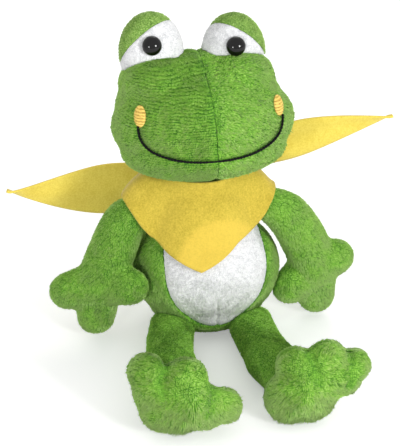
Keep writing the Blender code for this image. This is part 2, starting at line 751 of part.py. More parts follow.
def build_face(bench, form, head_clearance):
    """The stitched smile and the cheek dots."""
    tree = mesh_tree(form)
    pivot = neck_pivot()
    lift = THREAD_RADIUS + GAP
    points = []
    for index in range(SMILE_POINTS):
        angle = math.pi * index / (SMILE_POINTS - 1)
        across = math.copysign(abs(math.cos(angle)) ** (2.0 / SMILE_FULLNESS), -math.cos(angle))
        down = math.sin(angle) ** (2.0 / SMILE_FULLNESS)
        height = SMILE_END_HEIGHT - SMILE_DEPTH * down
        spot, normal = on_surface(tree, FACE_SIDESTEP + SMILE_HALF_WIDTH * across, height)
        points.append(spot + normal * lift)
    curve = bpy.data.curves.new("smile_stitching", "CURVE")
    curve.dimensions = "3D"
    curve.bevel_depth = THREAD_RADIUS
    curve.bevel_resolution = 1
    curve.use_fill_caps = True
    spline = curve.splines.new("POLY")
    spline.points.add(len(points) - 1)
    for knot, place in zip(spline.points, points):
        knot.co = (*(place - pivot), 1.0)
    smile = bpy.data.objects.new("smile_stitching", curve)
    smile.location = pivot
    curve.materials.append(bench.finish("black_thread", BLACK, THREAD_ROUGHNESS))
    bench.parts.objects.link(smile)

    for side, sign in SIDES.items():
        spot, normal = on_surface(tree, FACE_SIDESTEP + sign * DOT_OUT, DOT_HEIGHT)
        upright = normal.cross(Vector((1.0, 0.0, 0.0))).normalized()
        facing = Matrix((normal.cross(upright), normal, upright)).transposed().to_4x4()
        radii = (DOT_HALF_WIDTH, DOT_HALF_THICKNESS, DOT_HALF_HEIGHT)
        mesh = ball_mesh(Vector((0.0, 0.0, 0.0)), radii, rounds=2)
        mesh.transform(Matrix.Translation(spot) @ facing)
        satin = bench.finish("dot_satin", DOT_YELLOW, DOT_ROUGHNESS)
        dot = bench.part(f"cheek_dot_{side}", mesh, satin, pivot)
        cut(dot, head_clearance)


def arm_axis(side):
    """The line of the upper arm, about which the arm swings forward."""
    return along(ARM_PATH_SHARES[side][1], -SIDES[side]).normalized()


def arm_balls(side):
    """The balls of an arm and its three-lobed hand."""
    shoulder = shoulder_pivot(side)
    path = [shoulder + along(row, ARM_LENGTH) for row in ARM_PATH_SHARES[side]]
    radii = [ARM_RADIUS * share for share in ARM_RADIUS_SHARES]
    balls = tube_balls(path, radii)
    for row in FINGER_SHARES[side]:
        tip = shoulder + along(row, ARM_LENGTH)
        balls += tube_balls([path[-1], tip], [ARM_RADIUS, FINGER_RADIUS], flatness=HAND_FLATNESS_SHARE)
    return balls


def root_opening(bench, name, pivot, toward, radius):
    """A ball that opens the inner end of a limb's skin."""
    end = pivot - toward.normalized() * radius
    return bench.cutter(name, sphere_mesh(end, radius * OPENING_SHARE, rounds=2))


def torso_room(bench, name, torso, swing, root):
    """The torso's room as a limb sees it through its swing, less the root that turns in the socket."""
    room = bench.cutter(f"torso_room_{name}", swept(torso, *swing))
    cut(room, bench.cutter(f"root_{name}", root))
    return room


def build_arm(bench, side, torso, form):
    """An arm's skin and stuffing."""
    pivot = shoulder_pivot(side)
    toward = along(ARM_PATH_SHARES[side][1], ARM_LENGTH)
    opening = root_opening(bench, f"arm_opening_{side}", pivot, toward, ARM_ROOT_RADIUS)
    root = root_mesh(pivot, ARM_ROOT_RADIUS, ARM_ROOT_RADIUS, GAP)
    swing = (pivot, arm_axis(side), ARM_SWING[side])
    room = torso_room(bench, f"arm_{side}", torso, swing, root)
    skin = bench.part(f"arm_skin_{side}", skin_of(form), bench.finish("green_plush", GREEN), pivot)
    cut(skin, opening, room)
    filling = bench.part(f"arm_stuffing_{side}", filling_of(form), bench.finish("fibre", FIBRE), pivot)
    cut(filling, room)


def leg_form(side):
    """A leg, a little flattened by its own weight."""
    pivot = hip_pivot(side)
    path = [pivot + along(row, LEG_LENGTH) for row in LEG_PATH_SHARES[side]]
    balls = []
    for place, (radius, _, _) in tube_balls(path, [LEG_RADIUS * share for share in LEG_RADIUS_SHARES]):
        half_height = max(LEG_ROOT_RADIUS, radius * LEG_FLATNESS_SHARE)
        balls.append((place, (max(radius, LEG_ROOT_HALF_WIDTH), radius, half_height)))
    balls.append((ankle_pivot(side), (ANKLE_RADIUS, ANKLE_RADIUS, ANKLE_RADIUS)))
    return fused(balls, LEG_TRIANGLES, LIMB_SMOOTHING)


def build_leg(bench, side, torso, form):
    """A leg's skin and stuffing."""
    pivot = hip_pivot(side)
    toward = along(LEG_PATH_SHARES[side][1], LEG_LENGTH)
    opening = root_opening(bench, f"leg_opening_{side}", pivot, toward, LEG_ROOT_RADIUS)
    root = root_mesh(pivot, LEG_ROOT_HALF_WIDTH, LEG_ROOT_RADIUS, GAP)
    swing = (pivot, HINGE_AXIS, LEG_SWING)
    room = torso_room(bench, f"leg_{side}", torso, swing, root)
    skin = bench.part(f"leg_skin_{side}", skin_of(form), bench.finish("green_plush", GREEN), pivot)
    cut(skin, opening, room)
    filling = bench.part(f"leg_stuffing_{side}", filling_of(form), bench.finish("fibre", FIBRE), pivot)
    cut(filling, room)


def foot_place(side):
    """The foot's raise about the ankle, as a matrix."""
    return Matrix.Translation(ankle_pivot(side)) @ Matrix.Rotation(FOOT_RAISE, 4, "X")


def foot_form(side):
    """The three-toed foot, standing on its heel in front of the ankle."""
    balls = []
    for across, up, radius in FOOT_LOBE_SHARES[side]:
        centre = Vector((across * FOOT_LENGTH, -FOOT_REACH, up * FOOT_LENGTH))
        size = radius * FOOT_LENGTH
        balls.append((centre, (size, min(size, FOOT_HALF_THICKNESS), size)))
    form = fused(balls, FOOT_TRIANGLES, FOOT_SMOOTHING)
    form.transform(foot_place(side))
    return form


def build_foot(bench, side, leg):
    """A foot's top, sole and stuffing."""
    form = foot_form(side)
    pivot = ankle_pivot(side)
    place = foot_place(side)
    forward = place.to_3x3() @ Vector((0.0, -1.0, 0.0))
    rim = place @ Vector((0.0, -FOOT_REACH, 0.0))
    front_tool = bench.cutter(f"rim_front_{side}", half_space_mesh(rim - forward * GAP / 2.0, forward))
    back_tool = bench.cutter(f"rim_back_{side}", half_space_mesh(rim + forward * GAP / 2.0, -forward))
    socket = bench.cutter(f"ankle_socket_{side}", swept(leg, pivot, HINGE_AXIS, FOOT_TIP))
    plush = bench.finish("green_plush", GREEN)
    top = bench.part(f"foot_top_{side}", skin_of(form), plush, pivot)
    cut(top, front_tool, socket)
    sole = bench.part(f"foot_sole_{side}", skin_of(form), plush, pivot)
    cut(sole, back_tool)
    filling = bench.part(f"foot_stuffing_{side}", filling_of(form), bench.finish("fibre", FIBRE), pivot)
    cut(filling, socket)


def collar_hem(angle):
    """The hem's height and its reach from the neck's axis, by the angle from the front."""
    corner = COLLAR_CORNER_ANGLE
    if abs(angle) <= corner:
        share = math.sin(abs(angle)) / math.sin(corner)
        rise = COLLAR_HEM_SLOPE_SHARE * share + (1.0 - COLLAR_HEM_SLOPE_SHARE) * share**COLLAR_HEM_CURVE
        height = COLLAR_TIP_HEIGHT + (COLLAR_SIDE_HEIGHT - COLLAR_TIP_HEIGHT) * rise
        return height, COLLAR_SIDE_RADIUS * share
    share = (abs(angle) - corner) / (math.pi - corner)
    height = COLLAR_SIDE_HEIGHT + (COLLAR_BACK_HEIGHT - FELT - COLLAR_SIDE_HEIGHT) * share
    return height, COLLAR_SIDE_RADIUS + (COLLAR_TOP_RADIUS - COLLAR_SIDE_RADIUS) * share


def collar_point(tree, angle, down):
    """A place on the bandana, by its angle from the front and its share of the way down to the hem."""
    hem_height, hem_radius = collar_hem(angle)
    back_share = (1.0 - math.cos(angle)) / 2.0
    back_rise = COLLAR_BACK_HEIGHT + FELT - COLLAR_TOP_HEIGHT
    top_height = COLLAR_TOP_HEIGHT + back_rise * back_share**COLLAR_BACK_CURVE
    crown = COLLAR_CROWN * math.sin(math.pi * down) * math.sin(angle) ** 2
    height = top_height + (hem_height - top_height) * down + crown
    radius = COLLAR_TOP_RADIUS + (hem_radius - COLLAR_TOP_RADIUS) * down
    outward = Vector((math.sin(angle), -math.cos(angle), 0.0))
    axis = Vector((NECK_SIDESTEP * (1.0 - down), NECK_SET_BACK, height))
    hit, _, _, _ = tree.ray_cast(axis + outward * OVERRUN, -outward)
    if hit is not None:
        radius = max(radius, (hit - axis).length + COLLAR_CLEARANCE + FELT)
    sidestep = COLLAR_SIDESTEP + COLLAR_TIP_SIDESTEP * math.cos(angle / 2.0) ** 4
    return axis + outward * radius + Vector((sidestep * down, 0.0, 0.0))


def build_collar(bench, torso, arms):
    """The bandana round the neck, as one thin sheet that lies on the torso and the arms."""
    tree = mesh_tree(torso)
    bm = bmesh.new()
    bmesh.ops.create_grid(bm, x_segments=COLLAR_COLUMNS, y_segments=COLLAR_ROWS, size=1.0)
    span = math.pi - COLLAR_OPEN_ANGLE
    for vert in bm.verts:
        vert.co = collar_point(tree, vert.co.x * span, (1.0 - vert.co.y) / 2.0)
    bmesh.ops.smooth_vert(
        bm, verts=bm.verts, factor=COLLAR_EASE_SHARE, use_axis_x=True, use_axis_y=True, use_axis_z=False
    )
    least = COLLAR_CLEARANCE + FELT / 2.0
    for under in (tree, *[mesh_tree(arm) for arm in arms]):
        for vert in bm.verts:
            nearest, normal, _, _ = under.find_nearest(vert.co)
            if (vert.co - nearest).dot(normal) < least:
                vert.co = nearest + normal * least
    sheet = evaluated(mesh_of(bm), ("SOLIDIFY", {"thickness": FELT, "offset": 0.0}))
    bench.part("bandana_front", sheet, bench.finish("yellow_felt", YELLOW))


def build_knot(bench):
    """The knot behind the neck, a fat roll with two lobes."""
    centre = knot_centre()
    step = along(KNOT_LOBE_SHARES, KNOT_RADIUS)
    lobe = KNOT_RADIUS * (1.0 - along(KNOT_LOBE_SHARES, 1.0).length)
    lobes = [
        (centre + step, (lobe, lobe, lobe)),
        (centre - step, (lobe, lobe, lobe)),
        (centre, tuple(along(KNOT_WRAP_SHARES, KNOT_RADIUS))),
    ]
    mesh = fused(lobes, KNOT_TRIANGLES, KNOT_SMOOTHING, VOXEL / 2.0)
    bench.part("bandana_knot", mesh, bench.finish("yellow_felt", YELLOW), centre)


def tail_half_width(side, share):
    """The tail's half width at a share of its length, swelling from the knot and ending in a point."""
    swell = math.sin(math.pi / 2.0 * min(1.0, share / TAIL_SWELL_SHARE))
    past = max(0.0, share - TAIL_TAPER_SHARE) / (1.0 - TAIL_TAPER_SHARE)
    taper = max(0.0, math.cos(math.pi / 2.0 * past)) ** TAIL_POINT_POWER
    return TAIL_HALF_WIDTH[side] * (TAIL_ROOT_SHARE + (1.0 - TAIL_ROOT_SHARE) * swell) * taper


def build_tail(bench, side):
    """One pointed end of the bandana."""
    bm = bmesh.new()
    bmesh.ops.create_grid(bm, x_segments=TAIL_COLUMNS, y_segments=TAIL_ROWS, size=1.0)
    start = KNOT_RADIUS + GAP
    for vert in bm.verts:
        share = (vert.co.x + 1.0) / 2.0
        half = max(tail_half_width(side, share), FELT / 2.0)
        bend = TAIL_CURL * (math.sin(math.pi * share) - TAIL_TWIST_SHARE * vert.co.y * share)
        drop = TAIL_SAG[side] * math.sin(math.pi * share)
        vert.co = Vector((start + TAIL_LENGTH * share, bend, vert.co.y * half - drop))
    sheet = evaluated(mesh_of(bm), ("SOLIDIFY", {"thickness": FELT, "offset": 0.0}))
    turn = Matrix.Rotation(-TAIL_RISE[side], 4, "Y")
    mirror = Matrix.Diagonal((SIDES[side], 1.0, 1.0, 1.0))
    sheet.transform(Matrix.Translation(knot_centre()) @ mirror @ turn)
    if SIDES[side] < 0:
        sheet.flip_normals()
    bench.part(f"bandana_tail_{side}", sheet, bench.finish("yellow_felt", YELLOW), knot_centre())


def main():
    """Build the frog."""
    clear_scene()
    bench = Bench()
    torso = torso_form()
    build_torso(bench, torso)
    head = head_form()
    build_head(bench, head)
    head_clearance = bench.cutter("head_clearance", swollen(head, GAP))
    build_face(bench, head, head_clearance)
    arms = [fused(arm_balls(side), ARM_TRIANGLES, LIMB_SMOOTHING) for side in SIDES]
    for side, arm in zip(SIDES, arms):
        build_eye(bench, side, head_clearance)
        build_arm(bench, side, torso, arm)
        leg = leg_form(side)
        build_leg(bench, side, torso, leg)
        build_foot(bench, side, leg)
        build_tail(bench, side)
    build_collar(bench, torso, arms)
    build_knot(bench)


main()
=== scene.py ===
"""The looks of the sitting plush frog: its pile, felt bandana, stitched smile and safety eyes.

Lengths are in metres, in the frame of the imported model: +Z up, the frog facing -Y, its left at +X.
"""

import logging
import math
import random
from dataclasses import dataclass, field, replace
from enum import Enum
from typing import Callable, Iterable, Sequence

import bmesh
import bpy
from mathutils import Matrix, Vector, noise
from mathutils.bvhtree import BVHTree
from mathutils.kdtree import KDTree


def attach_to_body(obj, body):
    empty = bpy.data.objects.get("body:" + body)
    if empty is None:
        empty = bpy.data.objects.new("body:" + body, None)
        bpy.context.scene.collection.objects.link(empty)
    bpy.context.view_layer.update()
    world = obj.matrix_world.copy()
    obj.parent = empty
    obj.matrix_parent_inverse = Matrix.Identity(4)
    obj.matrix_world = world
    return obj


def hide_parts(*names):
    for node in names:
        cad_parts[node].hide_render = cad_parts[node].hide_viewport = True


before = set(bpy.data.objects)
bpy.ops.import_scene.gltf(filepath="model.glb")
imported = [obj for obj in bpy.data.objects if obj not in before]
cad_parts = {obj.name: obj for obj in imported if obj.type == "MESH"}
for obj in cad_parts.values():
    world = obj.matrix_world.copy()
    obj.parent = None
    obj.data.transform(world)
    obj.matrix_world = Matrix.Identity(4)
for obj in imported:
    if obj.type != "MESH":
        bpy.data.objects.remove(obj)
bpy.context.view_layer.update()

log = logging.getLogger("plush_frog")

Ball = tuple[Vector, tuple[float, float, float]]
Colour = tuple[float, float, float]
UP = Vector((0.0, 0.0, 1.0))
FRONT = Vector((0.0, -1.0, 0.0))
BAKE_MAP = "OFBake"
TIP_MARK = "tip"
LIMB_CLEARANCE = 0.0002
FLOOR_CLEARANCE = 0.0004


class Side(Enum):
    """The frog's own left and right."""

    LEFT = "left"
    RIGHT = "right"

    @property
    def sign(self) -> float:
        """The direction of this side along X.

        Returns:
            1 for the left and -1 for the right.
        """
        return 1.0 if self is Side.LEFT else -1.0


# Shader maths


def maths_operator(operation: str, swapped: bool = False) -> Callable[["Socket", object], "Socket"]:
    """Make a Python operator that adds one Math node.

    Args:
        operation: The Math node's operation.
        swapped: Whether the other value comes first.

    Returns:
        The operator, a method of Socket.
    """

    def apply(this: "Socket", other: object) -> "Socket":
        """Join two values.

        Args:
            this: The value that the operator belongs to.
            other: A number or a Socket.

        Returns:
            The node's result.
        """
        first, second = (other, this) if swapped else (this, other)
        return this.graph.node("ShaderNodeMath", {"operation": operation}, {0: first, 1: second})

    return apply


class Socket:
    """A number in a node tree, which takes part in Python sums."""

    __add__ = maths_operator("ADD")
    __radd__ = maths_operator("ADD", swapped=True)
    __sub__ = maths_operator("SUBTRACT")
    __rsub__ = maths_operator("SUBTRACT", swapped=True)
    __mul__ = maths_operator("MULTIPLY")
    __rmul__ = maths_operator("MULTIPLY", swapped=True)
    __truediv__ = maths_operator("DIVIDE")
    __pow__ = maths_operator("POWER")

    def __init__(self, graph: "Graph", link: bpy.types.NodeSocket) -> None:
        """Wrap a node's output.

        Args:
            graph: The tree that the output belongs to.
            link: The output itself.
        """
        self.graph = graph
        self.link = link

    def wave(self) -> "Socket":
        """The sine of this value.

        Returns:
            The sine, from -1 to 1.
        """
        return self.graph.node("ShaderNodeMath", {"operation": "SINE"}, {0: self, 1: 0.0})

    def between(self, low: float, high: float) -> "Socket":
        """Ease this value from 0 at low to 1 at high.

        Args:
            low: The value that gives 0.
            high: The value that gives 1.

        Returns:
            The eased share.
        """
        settings = {"interpolation_type": "SMOOTHSTEP"}
        return self.graph.node("ShaderNodeMapRange", settings, {0: self, 1: low, 2: high, 3: 0.0, 4: 1.0})


class Graph:
    """A material's node tree with one Principled shader."""

    def __init__(self, name: str) -> None:
        """Start a material.

        Args:
            name: The material's name.
        """
        self.material = bpy.data.materials.new(name)
        self.material.use_nodes = True
        self.tree = self.material.node_tree
        self.shader = self.tree.nodes["Principled BSDF"]
        self.coordinates = self.node("ShaderNodeTexCoord", {}, {}, "Object")

    def node(
        self, kind: str, settings: dict[str, object], values: dict[object, object], output: object = 0
    ) -> Socket:
        """Add a node.

        Args:
            kind: The node's type.
            settings: Its own settings, made before its sockets are filled.
            values: The values or links of its sockets, by name or number.
            output: The output to return, by name or number.

        Returns:
            The chosen output.
        """
        made = self.tree.nodes.new(kind)
        for key, value in settings.items():
            setattr(made, key, value)
        for key, value in values.items():
            self.fill(made.inputs[key], value)
        return Socket(self, made.outputs[output])

    def fill(self, socket: bpy.types.NodeSocket, value: object) -> None:
        """Set a socket to a number or colour, or link it.

        Args:
            socket: The input to fill.
            value: A Socket, a number or a colour.
        """
        if isinstance(value, Socket):
            self.tree.links.new(value.link, socket)
        elif isinstance(value, tuple) and len(value) == 3 and len(socket.default_value) == 4:
            socket.default_value = (*value, 1.0)
        else:
            socket.default_value = value

    def noise(self, size: float, detail: float = 2.0, stretch: Colour = (1.0, 1.0, 1.0)) -> Socket:
        """Soft noise from 0 to 1.

        Args:
            size: The size of its patches in metres.
            detail: How many finer layers it has.
            stretch: How many times finer it is along each axis.

        Returns:
            The noise.
        """
        place = self.node("ShaderNodeMapping", {}, {"Vector": self.coordinates, "Scale": stretch})
        values = {"Vector": place, "Scale": 1.0 / size, "Detail": detail, "Roughness": 0.6}
        return self.node("ShaderNodeTexNoise", {}, values, "Fac")

    def axes(self) -> tuple[Socket, Socket, Socket]:
        """The Object coordinates, one by one.

        Returns:
            The values along X, Y and Z.
        """
        return tuple(
            self.node("ShaderNodeSeparateXYZ", {}, {0: self.coordinates}, index) for index in range(3)
        )

    def mix(self, share: object, low: object, high: object) -> Socket:
        """Blend two colours.

        Args:
            share: 0 for the first colour, 1 for the second.
            low: The first colour.
            high: The second colour.

        Returns:
            The blend.
        """
        settings = {"data_type": "RGBA", "clamp_factor": True}
        return self.node("ShaderNodeMix", settings, {"Factor": share, 6: low, 7: high}, 2)

    def surface(self, **values: object) -> None:
        """Fill the shader's sockets, named with underscores for spaces."""
        for key, value in values.items():
            self.fill(self.shader.inputs[key.replace("_", " ")], value)

    def bump(self, height: Socket, depth: float, strength: float) -> None:
        """Raise the surface in the shading.

        Args:
            height: The relief, from 0 to 1.
            depth: How deep it is in metres.
            strength: How much of it shows.
        """
        values = {"Height": height, "Distance": depth, "Strength": strength}
        self.surface(Normal=self.node("ShaderNodeBump", {}, values))


@dataclass(frozen=True)
class PlushFinish:
    """Pile cloth with painted shade at the strands' roots and painted light at their tips."""

    name: str
    # Root colour: painted shade in the gaps between tufts; tip colour: painted light on the strand tips.
    shaded_root: Colour
    middle: Colour
    tip: Colour
    streak: Colour
    sheen: float
    contrast: float = 1.0
    ridge_pitch: float = 0.0
    ridge_shade_share: float = 0.0

    def material(self) -> bpy.types.Material:
        """Make the material.

        Returns:
            The finished material.
        """
        graph = Graph(self.name)
        # The tip mark carries the colour from the root colour to the tip colour: painted shade deep in the
        # pile and painted light at the strand tips.
        tip = graph.node("ShaderNodeAttribute", {"attribute_name": TIP_MARK}, {}, "Fac")
        broad = graph.noise(0.013, 3.0)
        tuft = graph.noise(0.0020, 3.0)
        fibre = graph.noise(0.0006, 2.0)
        patches = ((tuft - 0.5) * 0.80 + (broad - 0.5) * 0.45) * self.contrast
        level = tip * 0.95 + patches + (fibre - 0.5) * 0.50
        # Alternating lighter and darker rows up the height: painted light and shade of the ribbed pile.
        if self.ridge_shade_share:
            _, _, height = graph.axes()
            drift = graph.noise(0.009, 2.0) * 16.0
            ridge = (height * (math.tau / self.ridge_pitch) + drift).wave()
            level = level + ridge * self.ridge_shade_share
        body = graph.mix(level.between(-0.05, 0.42), self.shaded_root, self.middle)
        lit = graph.mix(level.between(0.30, 0.95), body, self.tip)
        # Lighter streaks at random, a little more towards the tips, where they add to the painted light.
        streaks = (fibre + tip * 0.25).between(0.62, 0.92) * 0.45
        graph.surface(Base_Color=graph.mix(streaks, lit, self.streak))
        graph.surface(Roughness=fibre * 0.25 + 0.68)
        graph.surface(Sheen_Weight=self.sheen, Sheen_Roughness=0.35, Sheen_Tint=self.streak)
        graph.surface(Specular_IOR_Level=0.2)
        graph.bump(fibre, 0.0003, 0.5)
        return graph.material


@dataclass(frozen=True)
class FeltFinish:
    """Thin napped felt with painted light in one oval, lighter where the white belly behind it would shine
    through.
    """

    name: str
    shade: Colour
    body: Colour
    # Painted light: the colour of the oval where the white belly behind the felt would shine through it.
    glow: Colour
    oval_centre: tuple[float, float] = (0.0, 0.0)
    oval_radii: tuple[float, float] = (0.0, 0.0)

    def material(self) -> bpy.types.Material:
        """Make the material.

        Returns:
            The finished material.
        """
        graph = Graph(self.name)
        nap = graph.noise(0.0007, 4.0)
        cloud = graph.noise(0.011, 3.0)
        weave = graph.noise(0.0016, 3.0, (1.0, 1.0, 0.45))
        level = (nap - 0.5) * 1.1 + (cloud - 0.5) * 0.35 + (weave - 0.5) * 0.45 + 0.5
        colour = graph.mix(level.between(0.1, 0.9), self.shade, self.body)
        # Painted light in the oval on the front, where the white belly would shine through the felt.
        if self.oval_radii[0]:
            across, back, up = graph.axes()
            side = ((across - self.oval_centre[0]) / self.oval_radii[0]) ** 2.0
            rise = ((up - self.oval_centre[1]) / self.oval_radii[1]) ** 2.0
            inside = 1.0 - (side + rise).between(0.78, 1.12)
            front = 1.0 - back.between(-0.016, -0.004)
            colour = graph.mix(inside * front * (level * 0.5 + 0.45), colour, self.glow)
        graph.surface(Base_Color=colour, Roughness=nap * 0.15 + 0.8)
        graph.surface(Sheen_Weight=0.18, Sheen_Roughness=0.5, Specular_IOR_Level=0.2)
        graph.bump(nap * 0.6 + weave * 0.4, 0.0004, 0.45)
        return graph.material


@dataclass(frozen=True)
class ThreadFinish:
    """Spun thread with fine fibres along it."""

    name: str
    dark: Colour
    light: Colour
    pitch: float
    gloss: float

    def material(self) -> bpy.types.Material:
        """Make the material.

        Returns:
            The finished material.
        """
        graph = Graph(self.name)
        across, _, up = graph.axes()
        drift = graph.noise(0.003, 2.0)
        ply = ((across + up) * (math.tau / self.pitch) + drift * 4.0).wave() * 0.5 + 0.5
        fibre = graph.noise(0.0003, 3.0)
        level = ply * 0.6 + fibre * 0.4
        graph.surface(Base_Color=graph.mix(level.between(0.2, 0.85), self.dark, self.light))
        graph.surface(Roughness=(1.0 - level) * 0.25 + self.gloss, Specular_IOR_Level=0.15)
        graph.bump(level, 0.0001, 0.6)
        return graph.material


@dataclass(frozen=True)
class SatinFinish:
    """Satin stitches laid side by side, with the odd darker one."""

    name: str
    shade: Colour
    body: Colour
    pitch: float
    gloss: float

    def material(self) -> bpy.types.Material:
        """Make the material.

        Returns:
            The finished material.
        """
        graph = Graph(self.name)
        _, _, up = graph.axes()
        drift = graph.noise(0.0016, 2.0) * 7.0
        rows = (up * (math.tau / self.pitch) + drift).wave() * 0.5 + 0.5
        speck = graph.noise(0.0007, 3.0, (0.6, 1.0, 1.6))
        level = rows * 0.45 + speck * 0.75
        graph.surface(Base_Color=graph.mix(level.between(0.25, 0.75), self.shade, self.body))
        graph.surface(Roughness=(1.0 - speck) * 0.25 + self.gloss, Specular_IOR_Level=0.3)
        graph.bump(level, 0.0001, 0.6)
        return graph.material


@dataclass(frozen=True)
class MouldedFinish:
    """Moulded plastic with faint flow marks and handling haze."""

    name: str
    body: Colour
    haze: Colour
    roughness: float
    specular: float

    def material(self) -> bpy.types.Material:
        """Make the material.

        Returns:
            The finished material.
        """
        graph = Graph(self.name)
        haze = graph.noise(0.0016, 4.0)
        scuff = graph.noise(0.0004, 2.0, (1.0, 5.0, 1.0))
        graph.surface(Base_Color=graph.mix(haze.between(0.45, 0.8) * 0.5, self.body, self.haze))
        graph.surface(Roughness=scuff.between(0.5, 0.9) * 0.06 + self.roughness)
        graph.surface(Specular_IOR_Level=self.specular)
        graph.bump(haze, 0.00002, 0.2)
        return graph.material


@dataclass(frozen=True)
class FillingFinish:
    """Fluffed fibre or woven canvas that stays inside the skins."""

    name: str
    shade: Colour
    body: Colour
    grain: float
    stretch: Colour

    def material(self) -> bpy.types.Material:
        """Make the material.

        Returns:
            The finished material.
        """
        graph = Graph(self.name)
        grain = graph.noise(self.grain, 4.0, self.stretch)
        cross = graph.noise(self.grain * 0.5, 2.0)
        level = grain * 0.6 + cross * 0.4
        graph.surface(Base_Color=graph.mix(level.between(0.25, 0.75), self.shade, self.body))
        graph.surface(Roughness=cross * 0.1 + 0.85)
        graph.bump(level, 0.0004, 0.6)
        return graph.material


GREEN_PLUSH = PlushFinish(
    "green_plush",
    (0.040, 0.160, 0.012), (0.185, 0.450, 0.040), (0.390, 0.690, 0.105), (0.66, 0.90, 0.34), 0.60,
)
# Its ribbed rows are painted light and shade in the colour.
MUZZLE_PLUSH = replace(GREEN_PLUSH, name="green_plush_ridged", ridge_pitch=0.00105, ridge_shade_share=0.16)
FOOT_PLUSH = PlushFinish(
    "green_plush_long",
    (0.045, 0.170, 0.013), (0.210, 0.480, 0.045), (0.460, 0.740, 0.135), (0.70, 0.92, 0.38), 0.60,
    contrast=0.9,
)
LID_PLUSH = PlushFinish(
    "green_plush_lid",
    (0.090, 0.210, 0.030), (0.260, 0.460, 0.085), (0.500, 0.720, 0.200), (0.70, 0.88, 0.42), 0.60,
)
WHITE_PLUSH = PlushFinish(
    "white_plush", (0.62, 0.63, 0.64), (0.94, 0.94, 0.95), (0.96, 0.96, 0.96), (0.96, 0.96, 0.96), 0.15
)
BLACK_THREAD = ThreadFinish("black_thread", (0.001, 0.001, 0.001), (0.007, 0.008, 0.007), 0.0013, 0.60)
DOT_SATIN = SatinFinish("dot_satin", (0.400, 0.225, 0.025), (0.860, 0.620, 0.150), 0.0010, 0.40)
BLACK_PLASTIC = MouldedFinish("black_plastic", (0.002, 0.002, 0.002), (0.006, 0.004, 0.004), 0.04, 0.32)
WASHER_PLASTIC = MouldedFinish("washer_plastic", (0.70, 0.70, 0.68), (0.55, 0.55, 0.53), 0.35, 0.5)
FIBRE_FILL = FillingFinish("fibre_fill", (0.62, 0.62, 0.60), (0.84, 0.84, 0.82), 0.0020, (1.0, 1.0, 3.0))
CANVAS = FillingFinish("canvas", (0.40, 0.37, 0.31), (0.56, 0.53, 0.46), 0.0006, (1.0, 4.0, 1.0))


# Making and shaping


def bmesh_of(mesh: bpy.types.Mesh) -> bmesh.types.BMesh:
    """Copy a mesh into a bmesh.

    Args:
        mesh: The mesh to copy.

    Returns:
        The copy.
    """
    bm = bmesh.new()
    bm.from_mesh(mesh)
    return bm


def mesh_of(bm: bmesh.types.BMesh, name: str = "shape") -> bpy.types.Mesh:
    """Turn a bmesh into a mesh and free it.

    Args:
        bm: The bmesh.
        name: The mesh's name.

    Returns:
        The mesh.
    """
    mesh = bpy.data.meshes.new(name)
    bm.to_mesh(mesh)
    bm.free()
    return mesh


def tree_of(mesh: bpy.types.Mesh) -> BVHTree:
    """A search tree over a mesh's faces.

    Args:
        mesh: The mesh to search.

    Returns:
        The tree.
    """
    bm = bmesh_of(mesh)
    tree = BVHTree.FromBMesh(bm)
    bm.free()
    return tree


def run_modifiers(mesh: bpy.types.Mesh, *modifiers: tuple[str, dict[str, object]]) -> bpy.types.Mesh:
    """Run modifiers over a mesh.

    Args:
        mesh: The mesh to start from.
        modifiers: Each modifier's type and its settings.

    Returns:
        The resulting mesh.
    """
    scratch = bpy.data.objects.new("scratch", mesh)
    bpy.context.scene.collection.objects.link(scratch)
    for kind, settings in modifiers:
        modifier = scratch.modifiers.new(kind, kind)
        for key, value in settings.items():
            setattr(modifier, key, value)
    graph = bpy.context.evaluated_depsgraph_get()
    result = bpy.data.meshes.new_from_object(scratch.evaluated_get(graph))
    bpy.data.objects.remove(scratch, do_unlink=True)
    return result


def add_piece(name: str, mesh: bpy.types.Mesh, finish: bpy.types.Material) -> bpy.types.Object:
    """Add a finished piece to the scene.

    Args:
        name: The piece's name.
        mesh: Its mesh, in place.
        finish: Its material.

    Returns:
        The new object.
    """
    mesh.name = name
    mesh.materials.clear()
    mesh.materials.append(finish)
    mesh.shade_smooth()
    made = bpy.data.objects.new(name, mesh)
    bpy.context.scene.collection.objects.link(made)
    return made


def add_bake_map(mesh: bpy.types.Mesh) -> bpy.types.Mesh:
    """Unfold a mesh into a few flat charts.

    Args:
        mesh: The mesh to unfold.

    Returns:
        The same mesh with its map.
    """
    mesh.uv_layers.new(name=BAKE_MAP)
    scratch = bpy.data.objects.new("scratch", mesh)
    bpy.context.scene.collection.objects.link(scratch)
    bpy.ops.object.select_all(action="DESELECT")
    scratch.select_set(True)
    bpy.context.view_layer.objects.active = scratch
    bpy.ops.object.mode_set(mode="EDIT")
    bpy.ops.mesh.select_all(action="SELECT")
    bpy.ops.uv.smart_project(angle_limit=math.radians(66.0), island_margin=0.004)
    bpy.ops.object.mode_set(mode="OBJECT")
    bpy.data.objects.remove(scratch, do_unlink=True)
    return mesh


def smooth_path(points: Sequence[Vector], steps: int) -> list[tuple[Vector, float]]:
    """Read a smooth curve through points.

    Args:
        points: The points, as vectors.
        steps: How many places to read between two points.

    Returns:
        Places on the curve, each with its share along the points.
    """
    ends = [points[0], *points, points[-1]]
    found = []
    for index in range(len(points) - 1):
        a, b, c, d = ends[index : index + 4]
        for step in range(steps):
            t = step / steps
            place = 0.5 * (
                2.0 * b + (c - a) * t + (2.0 * a - 5.0 * b + 4.0 * c - d) * t**2
                + (3.0 * b - a - 3.0 * c + d) * t**3
            )
            found.append((place, index + t))
    found.append((points[-1], len(points) - 1.0))
    return found


def tube_balls(points: Sequence[Vector], radii: Sequence[float], flatness: float = 1.0) -> list[Ball]:
    """Lay balls along a path.

    Args:
        points: The path's points.
        radii: The radius at each point.
        flatness: The balls' depth as a share of their radius.

    Returns:
        The balls.
    """
    balls = []
    for place, along in smooth_path(points, 6):
        low = min(int(along), len(radii) - 2)
        radius = radii[low] + (radii[low + 1] - radii[low]) * (along - low)
        balls.append((place, (radius, radius * flatness, radius)))
    return balls


